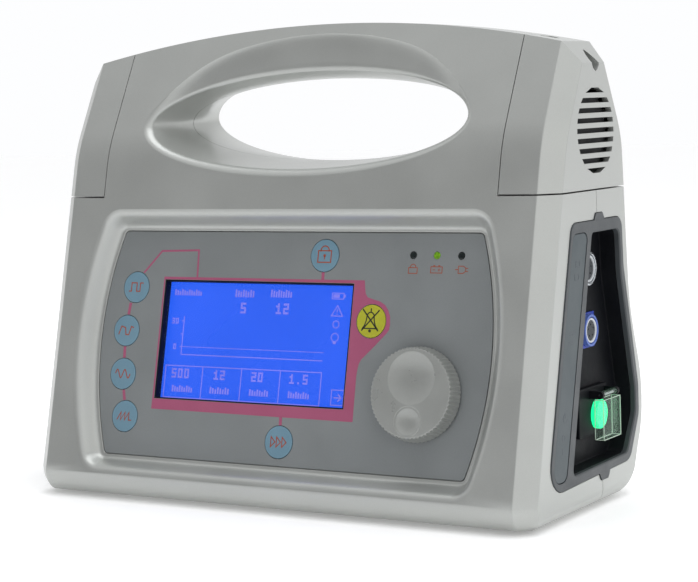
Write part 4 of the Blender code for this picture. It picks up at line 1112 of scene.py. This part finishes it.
for name, x in LAMPS.items():
    dome = [(0.0, -4.2), (1.75, -4.2), (1.75, -0.1), (1.6, 0.1), (1.2, 0.22), (0.6, 0.28), (0.0, 0.3)]
    look, slot = ("lamp", "lamp_green") if name == "battery_lamp" else ("dark_lens", "lamp_dark")
    shape = lathe(dome, 32, Matrix.Translation((x, LAMP_Y, 0.0)))
    piece(f"{name}_lens", shape, look, "case", PANEL_WORLD, 30.0, [name])

top_arc = [(69.7 - 1.5 * math.cos(math.pi * k / 8), 42.0 + 1.5 * math.sin(math.pi * k / 8)) for k in range(9)]
plug = [(94.6, 39.4), (94.6, 42.9), (97.2, 42.9), (98.6, 42.0), (98.6, 40.4), (97.2, 39.4)]
artwork(
    "lamp_marks",
    [
        ribbon(rectangle(67.3, 39.0, 72.1, 41.8), 0.35, *INK, True),
        ribbon([(68.2, 41.8), *top_arc, (71.2, 41.8)], 0.35, *INK),
        ribbon(rectangle(79.6, 39.4, 85.8, 42.4), 0.35, *INK, True),
        ribbon([(80.9, 42.9), (81.9, 42.9)], 0.45, *INK),
        ribbon([(83.6, 42.9), (84.6, 42.9)], 0.45, *INK),
        ribbon([(80.6, 40.9), (82.0, 40.9)], 0.3, *INK),
        ribbon([(83.4, 40.9), (84.8, 40.9)], 0.3, *INK),
        ribbon([(84.1, 41.6), (84.1, 40.2)], 0.3, *INK),
        ribbon(plug, 0.35, *INK, True),
        ribbon([(92.9, 41.2), (94.6, 41.2)], 0.4, *INK),
        ribbon([(98.6, 41.9), (99.9, 41.9)], 0.35, *INK),
        ribbon([(98.6, 40.4), (99.9, 40.4)], 0.35, *INK),
    ],
    "brown",
)


# ---------------------------------------------------------------- display

SCREEN = (-77.95, -28.65, 37.35, 33.45)
SCREEN_LEVEL = -4.5
LIT_DOTS = (SCREEN_LEVEL + 0.01, SCREEN_LEVEL + 0.07)
half_x, half_y = LCD_SIZE[0] / 2 - 0.3, LCD_SIZE[1] / 2 - 0.3
cx, cy = LCD_CENTRE
module = block(
    (cx - half_x - 7.0, cy - half_y - 5.0, -14.5), (cx + half_x + 7.0, cy + half_y + 5.0, SCREEN_LEVEL)
)
piece("display_panel", module, "screen", "case", PANEL_WORLD, 30.0, ["lcd_module"])


def screen_inset(distance):
    """The screen's outline, moved in by a distance."""
    x0, y0, x1, y1 = SCREEN
    return rectangle(x0 + distance, y0 + distance, x1 - distance, y1 - distance)


# Painted shade: a black sleeve lines the display window's walls and stands in for the shadow along its
# recessed edge.
wall_shade = carved(
    patch(screen_inset(0.05), -4.45, -0.15),
    [("DIFFERENCE", patch(screen_inset(0.7), -6.0, 2.0))],
)
piece("display_wall_shade", wall_shade, "black", "case", PANEL_WORLD, 30.0)

PIXEL = 0.475
DIGITS = {
    "0": "111101101101111", "1": "010110010010111", "2": "111001111100111", "3": "111001111001111",
    "4": "101101111001001", "5": "111100111001111", "6": "111100111101111", "7": "111001010010010",
    "8": "111101111101111", "9": "111101111001111", ".": "000000000000010", "-": "000000111000000",
}


def dots(x0, y0, x1, y1):
    """A lit rectangle on the screen."""
    return patch(rectangle(x0, y0, x1, y1), *LIT_DOTS)


def number(text, x, y, height):
    """A number from square dots, with its lower left corner at (x, y)."""
    unit = height / 5
    made = []
    for character in text:
        for index, on in enumerate(DIGITS[character]):
            if on == "1":
                column, row = index % 3, 4 - index // 3
                left, low = x + column * unit, y + row * unit
                made.append(dots(left, low, left + unit * 0.92, low + unit * 0.92))
        x += unit * 4
    return made


def line(x0, y0, x1, y1, width=PIXEL):
    """A lit line on the screen."""
    return ribbon([(x0, y0), (x1, y1)], width, *LIT_DOTS)


def bars(x0, y0, x1, y1, count):
    """A row of short upright dashes in place of a label."""
    step = (x1 - x0) / count
    return [dots(x0 + step * k, y0, x0 + step * (k + 0.62), y1 - (k % 3) * 0.5) for k in range(count)]


screen_shapes = [
    *bars(-74.3, 25.9, -56.7, 29.0, 12),
    *bars(-36.0, 25.7, -23.9, 29.6, 8),
    *bars(-14.2, 26.1, -1.0, 30.0, 9),
    *number("5", -32.0, 17.4, 5.6),
    *number("12", -10.4, 17.6, 5.6),
    line(-66.8, 15.0, -66.8, -5.0),
    line(-68.3, 12.5, -66.8, 12.5),
    line(-68.3, 5.7, -66.8, 5.7),
    line(-68.3, -1.0, -66.8, -1.0),
    *number("30", -74.5, 11.0, 3.0),
    *number("0", -72.2, -2.4, 3.0),
    line(-66.6, -5.0, 20.0, -5.0),
    line(-66.6, -0.9, 20.4, -0.9, 0.3),
    line(-75.8, -10.9, 20.3, -10.9),
    line(-75.8, -27.4, 20.3, -27.4),
    *[line(x, -10.9, x, -27.4) for x in (-75.6, -52.0, -27.8, -4.2, 20.2)],
    *number("500", -71.5, -17.2, 5.0),
    *number("12", -44.8, -17.2, 5.0),
    *number("20", -21.5, -17.2, 5.0),
    *number("1.5", 1.5, -17.2, 5.0),
    *bars(-70.5, -24.4, -57.0, -21.0, 9),
    *bars(-46.5, -24.4, -34.0, -21.0, 8),
    *bars(-22.0, -24.4, -10.0, -21.0, 8),
    *bars(1.5, -24.4, 14.5, -21.0, 9),
    ribbon(rectangle(22.4, 26.1, 29.2, 29.0), 0.45, *LIT_DOTS, True),
    dots(29.4, 26.8, 30.2, 28.3),
    dots(23.1, 26.7, 26.8, 28.4),
    ribbon([(22.8, 17.6), (29.4, 17.6), (26.1, 22.8)], 0.5, *LIT_DOTS, True),
    line(26.1, 21.0, 26.1, 19.4),
    dots(25.85, 18.3, 26.35, 18.8),
    ribbon(circle(26.0, 13.4, 1.8, 14), 0.45, *LIT_DOTS, True),
    ribbon(circle(26.0, 6.9, 2.1, 14), 0.45, *LIT_DOTS, True),
    dots(25.1, 3.6, 26.9, 4.7),
    ribbon(rectangle(27.0, -26.6, 34.1, -19.1), 0.5, *LIT_DOTS, True),
    line(28.4, -22.9, 32.6, -22.9, 0.7),
    ribbon([(30.8, -21.1), (32.7, -22.9), (30.8, -24.7)], 0.7, *LIT_DOTS),
]
piece(
    "screen_marks", gathered(screen_shapes), "pixels", "case", PANEL_WORLD, 20.0
)


# ---------------------------------------------------------------- dial


# Centre, radius and depth of the two finger dishes in the dial's face.
DISHES = ((7.2, 12.8, 2.6), (-13.7, 6.4, 1.6))
DIAL_HEIGHT = 9.1


def face_height(x, y):
    """Height of the dial's face, with its two finger dishes and the ring round the small one."""
    height = DIAL_HEIGHT
    for centre, radius, depth in DISHES:
        ball = (radius**2 + depth**2) / (2 * depth)
        away = math.hypot(x, y - centre)
        if away < radius:
            height = min(height, DIAL_HEIGHT - depth + ball - math.sqrt(ball**2 - away**2))
    ring = abs(math.hypot(x, y - DISHES[1][0]) - 7.35)
    if ring < 0.3 and math.hypot(x, y) < 20.6:
        height = min(height, DIAL_HEIGHT - 0.22 * (1 - ring / 0.3))
    return height


def dial():
    """The large dial as one skin: fine scallops round its side and dishes in its face."""
    count, per = 64, 6
    total = count * per
    side_levels = [
        (22.5, 0.9, 0.0), (23.1, 1.05, 0.4), (23.2, 1.5, 0.8), (23.05, 2.6, 1.0), (22.75, 4.4, 1.0),
        (22.45, 6.2, 1.0), (22.3, 7.4, 1.0), (22.2, 8.1, 1.0), (22.0, 8.6, 0.95), (21.75, 8.95, 0.75),
        (21.35, 9.08, 0.45), (21.0, 9.1, 0.0),
    ]
    shape = bmesh.new()
    rows = []
    for radius, height, share in side_levels:
        row = []
        for k in range(total):
            angle = 2 * math.pi * k / total
            flute = 0.5 - 0.5 * math.cos(count * angle)
            r = radius - 0.75 * share * flute**0.7
            row.append(shape.verts.new((r * math.cos(angle), r * math.sin(angle), height)))
        rows.append(row)
    for step in range(1, 90):
        radius = 21.0 * (1 - step / 90)
        row = []
        for k in range(total):
            angle = 2 * math.pi * k / total
            x, y = radius * math.cos(angle), radius * math.sin(angle)
            row.append(shape.verts.new((x, y, face_height(x, y))))
        rows.append(row)
    for lower, upper in zip(rows, rows[1:]):
        bridge(shape, lower, upper)
    middle = shape.verts.new((0.0, 0.0, face_height(0.0, 0.0)))
    for k in range(total):
        shape.faces.new((rows[-1][k], rows[-1][(k + 1) % total], middle))
    rim = circle(0.0, 0.0, 3.06, total)
    mouth, end = [[shape.verts.new((x, y, z)) for x, y in rim] for z in (0.9, 5.8)]
    bridge(shape, rows[0], mouth)
    bridge(shape, mouth, end)
    shape.faces.new(end)
    bmesh.ops.recalc_face_normals(shape, faces=shape.faces)
    return shape


piece(
    "dial", placed(dial(), Matrix.Translation((*KNOB, 0.0))), "knob", "selector", PANEL_WORLD, 28.0,
    ["selector_knob"],
)


# ---------------------------------------------------------------- connectors and power switch


def turned(
    name, profile, at, direction, look, replaces=(), body="case", hollow=False, segments=64
):
    """A turned piece that stands on a point."""
    shape = lathe(profile, segments, Matrix.Translation(at) @ turned_to(direction), hollow)
    piece(name, shape, look, body, replaces=replaces)


# Section of a connector's two rings, as distances in from its outside and heights.
OUTER_RING = (
    (2.1, 0.0), (0.0, 0.0), (0.0, 2.0), (0.15, 2.35), (0.5, 2.5), (0.95, 2.5), (1.2, 2.3), (1.3, 1.9),
    (1.3, 0.8), (2.1, 0.8),
)
INNER_RING = (
    (2.9, 0.9), (1.75, 0.9), (1.75, 1.9), (1.9, 2.15), (2.2, 2.25), (2.6, 2.15), (2.8, 1.9), (2.9, 1.7),
)


def socket_ring(name, node, base, y, z, radius, look):
    """A round connector: an outer ring, an inner ring and a dark core with contact holes."""
    at = (base, y, z)
    outer = [(radius - back, height) for back, height in OUTER_RING]
    turned(f"{name}_outer", outer, at, "+X", look, [node], hollow=True)
    inner = [(radius - back, height) for back, height in INNER_RING]
    turned(f"{name}_inner", inner, at, "+X", "white", (), hollow=True)
    reach = radius - 3.0
    core = [(0.0, 0.85), (reach, 0.85), (reach, 1.55), (reach - 0.2, 1.75), (0.0, 1.75)]
    steps = []
    for k in range(5):
        angle = math.radians(20 + 72 * k)
        spot = (base, y + 3.0 * math.cos(angle), z + 3.0 * math.sin(angle))
        steps.append(("DIFFERENCE", rod(0.55, 1.2, 4.0, "+X", spot, 16)))
    shape = carved(lathe(core, 48, Matrix.Translation(at) @ turned_to("+X")), steps)
    piece(f"{name}_core", shape, "socket_core", replaces=[f"{node}_insert"])


# Where parts stand in the right bay: on its floor, or on the lower connector's plate.
BAY_SEAT, PLATE_SEAT = 136.3, 137.3
socket_ring("data_connector", "data_socket", BAY_SEAT, 7.8, 116.0, 8.4, "plated")
plate = block((BAY_SEAT, -2.2, 77.1), (137.0, 15.2, 94.5), 0.25)
piece("dc_plate", plate, "blue", replaces=["dc_socket_plate"])
socket_ring("dc_connector", "dc_socket", PLATE_SEAT, 6.5, 85.8, 7.9, "blue_ring")

HINGE = (144.2, 13.6, 54.2)
HINGE_X, _, HINGE_Z = HINGE
EAR_RADIUS, EAR_WIDTH, PIN_HOLE = 1.9, 2.0, 0.85
BUTTON = (BAY_SEAT, 13.0, 43.7)
pod_steps = []
for ear_y in (3.8, 21.4):
    far_y = ear_y + EAR_WIDTH
    foot = block((137.6, ear_y, HINGE_Z - EAR_RADIUS), (HINGE_X, far_y, HINGE_Z + EAR_RADIUS))
    tip = rod(EAR_RADIUS, ear_y, far_y, "+Y", (HINGE_X, 0.0, HINGE_Z), 28)
    pod_steps += [("UNION", foot), ("UNION", tip)]
pod_steps += [
    ("DIFFERENCE", rod(7.6, 0.6, 9.0, "+X", BUTTON, 64)),
    ("DIFFERENCE", rod(PIN_HOLE, -12.0, 12.0, "+Y", HINGE, 20)),
]
pod = carved(block((BAY_SEAT, -8.0, 34.0), (138.6, 24.0, 58.0), 0.5), pod_steps)
piece("switch_housing", pod, "black", replaces=["switch_pod"])

button = [
    (0.0, 1.9), (7.3, 1.9), (7.3, 4.2), (7.15, 4.55), (6.85, 4.75), (6.4, 4.8), (5.9, 4.68), (5.5, 4.5),
    (4.0, 4.45), (0.0, 4.5),
]
turned(
    "button_lens", button, BUTTON, "+X", "button", ["power_button"], "power_button"
)
turned(
    "hinge_pin", [(0.0, -9.6), (0.65, -9.6), (0.8, -9.4), (0.8, 9.4), (0.65, 9.6), (0.0, 9.6)],
    HINGE, "+Y", "steel", ["guard_pin"], segments=24,
)
GUARD_LOW, GUARD_HIGH = (141.4, 3.4, 32.0), (146.4, 23.8, 52.0)
guard_steps = [
    ("DIFFERENCE", block((130.0, 4.6, 33.2), (145.2, 22.6, 50.8), 0.5)),
    ("UNION", block((143.4, 6.2, 51.4), (145.0, 21.0, HINGE_Z))),
    ("UNION", rod(1.7, -7.4, 7.4, "+Y", HINGE, 32)),
    ("DIFFERENCE", rod(PIN_HOLE, -12.0, 12.0, "+Y", HINGE, 20)),
]
guard = carved(block(GUARD_LOW, GUARD_HIGH, 0.35), guard_steps)
piece("clear_guard", guard, "guard", "switch_guard", replaces=["switch_guard"])


def highlight_rails():
    """Painted highlights on the clear guard's edges, as thin pale rails just inside its corners."""
    low, high = Vector(GUARD_LOW), Vector(GUARD_HIGH)
    rail = 0.34
    shapes = []
    for axis in range(3):
        first, second = [k for k in range(3) if k != axis]
        for near_first in (True, False):
            for near_second in (True, False):
                start, end = low + Vector((0.05, 0.05, 0.05)), high - Vector((0.05, 0.05, 0.05))
                for side_axis, near in ((first, near_first), (second, near_second)):
                    if near:
                        end[side_axis] = start[side_axis] + rail
                    else:
                        start[side_axis] = end[side_axis] - rail
                shapes.append(block(tuple(start), tuple(end)))
    return gathered(shapes)


piece("guard_highlight_rails", highlight_rails(), "guard_highlight", "switch_guard")


# ---------------------------------------------------------------- side label pictograms

STRIP_TOP = FRAME_TOP - 0.2
STRIP_WORLD = BODY @ Matrix.Translation((STRIP_TOP, 0.0, 0.0)) @ Matrix(
    ((0, 0, 1, 0), (1, 0, 0, 0), (0, 1, 0, 0), (0, 0, 0, 1))
)


def strip_middle(height):
    """The strip's centre line at a height, as y."""
    (top_left, top, _), (top_right, _, _), (low_right, low, _), (low_left, _, _) = STRIP_OUTLINE
    upper, lower = (top_left + top_right) / 2, (low_left + low_right) / 2
    return upper + (lower - upper) * (top - height) / (top - low)


strip_shapes = []
for height in (121.0, 115.0):
    y = strip_middle(height)
    strip_shapes += [
        ribbon(rectangle(y - 2.4, height - 1.3, y + 1.6, height + 1.3), 0.4, *INK, True),
        ribbon([(y + 1.6, height), (y + 3.2, height)], 0.4, *INK),
    ]
for height in (89.0, 84.5):
    y = strip_middle(height)
    strip_shapes += [
        ribbon([(y - 3.0, height + 0.6), (y + 3.0, height + 0.6)], 0.4, *INK),
        ribbon([(y - 3.0, height - 0.6), (y - 1.0, height - 0.6)], 0.4, *INK),
        ribbon([(y, height - 0.6), (y + 1.6, height - 0.6)], 0.4, *INK),
    ]
y = strip_middle(50.0)
power_arc = circle(y, 50.0, 2.2, 28)[8:]
strip_shapes += [ribbon(power_arc, 0.4, *INK), ribbon([(y, 50.0), (y, 52.8)], 0.4, *INK)]
y = strip_middle(41.0)
strip_shapes += [ribbon(circle(y, 41.0, 1.5, 20), 0.35, *INK, True)]
y = strip_middle(35.0)
strip_shapes += [ribbon([(y, 33.6), (y, 36.4)], 0.5, *INK)]
artwork("strip_marks", strip_shapes, "grey_ink", matrix=STRIP_WORLD)


# ---------------------------------------------------------------- gas side, underside and fixings

BASE_LEFT = -124.9


def port(name, node, profile, look):
    """A gas port in the left bay, turned from its section."""
    at = (BASE_LEFT, PORT_Y, PORTS[node][0])
    turned(name, profile, at, "-X", look, [node], hollow=True)


port(
    "oxygen_fitting", "oxygen_inlet",
    [(2.4, -7.0), (4.0, -7.0), (4.0, 0.0), (7.5, 0.0), (7.5, 5.0), (7.2, 5.4), (6.4, 5.4), (6.4, 6.4)]
    + [(6.4 + (0.5 if k % 2 else 0.0), 6.4 + 0.55 * k) for k in range(1, 22)]
    + [(6.4, 18.4), (5.6, 19.6), (4.6, 20.0), (3.0, 20.0), (2.4, 19.4)],
    "brass",
)
port(
    "outlet_cone", "patient_outlet",
    [(6.0, -7.0), (7.5, -7.0), (7.5, 0.0), (11.2, 0.0), (11.2, 1.2), (11.05, 1.4), (10.9, 20.2)]
    + [(10.5, 20.8), (9.8, 21.0), (9.0, 21.0), (8.6, 20.7), (8.4, 20.0), (8.3, 2.0), (6.0, 1.6)],
    "black",
)
port(
    "pressure_barb", "pressure_port",
    [(1.2, -7.0), (2.4, -7.0), (2.4, 0.0), (3.4, 0.0), (3.4, 3.0), (3.0, 3.4), (2.2, 3.6), (2.2, 6.0)]
    + [(3.1, 6.4), (2.3, 8.8), (3.0, 9.2), (2.2, 11.6), (2.8, 12.0), (2.1, 13.6), (1.6, 14.0), (1.2, 13.8)],
    "plated",
)

SCREW_SECTION = [
    (0.0, -25.9), (1.2, -25.9), (1.5, -25.0), (1.5, 0.1), (3.2, 0.1), (3.2, 1.7), (2.8, 2.3), (1.8, 2.5),
    (0.0, 2.5),
]
for index, (x, z) in enumerate(SCREW_PLACES, start=1):
    shank = lathe(SCREW_SECTION, 40, Matrix.Translation((x, SCREW_SEAT, z)) @ turned_to("+Y"))
    slots = [
        ("DIFFERENCE", block((x - 1.9, 13.3, z - 0.35), (x + 1.9, 16.0, z + 0.35))),
        ("DIFFERENCE", block((x - 0.35, 13.3, z - 1.9), (x + 0.35, 16.0, z + 1.9))),
    ]
    piece(
        f"screw_{index}", carved(shank, slots), "steel",
        replaces=[f"housing_screw_{index}"],
    )

FOOT_SECTION = [
    (0.0, 0.35), (3.0, 0.35), (3.4, 0.0), (5.4, 0.0), (6.1, 0.25), (6.5, 0.8), (FOOT_RADIUS, 2.7),
    (0.0, 2.7),
]
foot_places = [(x, y) for y in FEET_Y for x in FEET_X]
for index, (x, y) in enumerate(foot_places, start=1):
    sole = lathe(FOOT_SECTION, 48, Matrix.Translation((x, y, 0.0)))
    piece(f"foot_pad_{index}", sole, "rubber", replaces=[f"foot_{index}"])

cover = block((*DOOR_LOW, 1.5), (*DOOR_HIGH, 3.2), 0.4)
grips = []
for k in range(4):
    groove = block((-14.0, -12.0 + 4.0 * k, 1.0), (14.0, -10.4 + 4.0 * k, 2.0), 0.3)
    grips.append(("DIFFERENCE", groove))
piece("battery_door", carved(cover, grips), "paint", replaces=["battery_cover"])


# ---------------------------------------------------------------- nodes kept from the frame

KEPT = {
    "lcd_window": "pane", "encoder_shaft": "steel", "encoder_body": "aluminium", "keypad_board": "circuit",
    "main_board": "circuit", "power_board": "circuit", "chassis_plate": "aluminium", "gas_block": "aluminium",
    "proportional_valve": "steel", "pressure_regulator": "brass", "safety_valve": "brass",
    "outlet_coupling": "rubber", "supply_hose": "rubber", "flow_sensor": "milky", "air_filter": "felt",
    "battery_pack": "wrap", "alarm_speaker": "black",
}
for node, look in KEPT.items():
    NODES[node].data.materials.clear()
    NODES[node].data.materials.append(LOOKS[look])


# ---------------------------------------------------------------- studio

LOOKS["stage"] = surface(
    "studio_paper", srgb(250, 250, 250), 0.8, 0.0, 0.01, 4.0, 60.0, 0.01, 0.03,
    Emission_Color=(1.0, 1.0, 1.0, 1.0), Emission_Strength=0.2,
)
stage_shape = bmesh.new()
bmesh.ops.create_grid(stage_shape, x_segments=8, y_segments=8, size=6.0)
stage_mesh = bpy.data.meshes.new("stage")
stage_shape.to_mesh(stage_mesh)
stage_shape.free()
stage_mesh.materials.append(LOOKS["stage"])
stage = in_scene("stage", stage_mesh)


def lamp(name, at, target, size, power, colour):
    """A soft rectangular light that faces a target."""
    data = bpy.data.lights.new(name, "AREA")
    data.shape = "RECTANGLE"
    data.size, data.size_y = size
    data.energy = power
    data.color = colour
    light = in_scene(name, data)
    facing = (Vector(target) - Vector(at)).to_track_quat("-Z", "Y")
    light.matrix_world = Matrix.Translation(at) @ facing.to_matrix().to_4x4()


CENTRE = (0.0, 0.0, 0.12)
lamp("overhead", (0.15, 0.2, 1.5), CENTRE, (1.6, 1.2), 10.0, (0.97, 0.985, 1.0))
lamp("right_side", (1.7, -0.5, 0.9), CENTRE, (0.9, 0.9), 0.9, (1.0, 0.99, 0.90))


def studio_world():
    """White seen directly; for light and reflections, dimmer towards the front left."""
    world = bpy.data.worlds.new("world")
    bpy.context.scene.world = world
    world.use_nodes = True
    tree = world.node_tree
    background = tree.nodes["Background"]
    background.inputs["Color"].default_value = (0.985, 0.99, 1.0, 1.0)
    where = add_node(tree, "TexCoord").outputs["Generated"]
    dim_side = Vector((-0.42, -0.90, 0.12)).normalized()
    facing = add_node(tree, "VectorMath", {0: where, 1: dim_side}, operation="DOT_PRODUCT")
    shade = add_node(
        tree, "MapRange",
        {
            "Value": facing.outputs["Value"], "From Min": 0.45, "From Max": 0.98,
            "To Min": 0.90, "To Max": 0.27,
        },
        interpolation_type="SMOOTHSTEP",
    )
    direct = add_node(tree, "LightPath").outputs["Is Camera Ray"]
    strength = add_node(
        tree, "Mix", {0: direct, 2: shade.outputs["Result"], 3: 1.0}, data_type="FLOAT"
    )
    tree.links.new(strength.outputs[0], background.inputs["Strength"])


studio_world()
bpy.context.scene.view_settings.view_transform = "Standard"
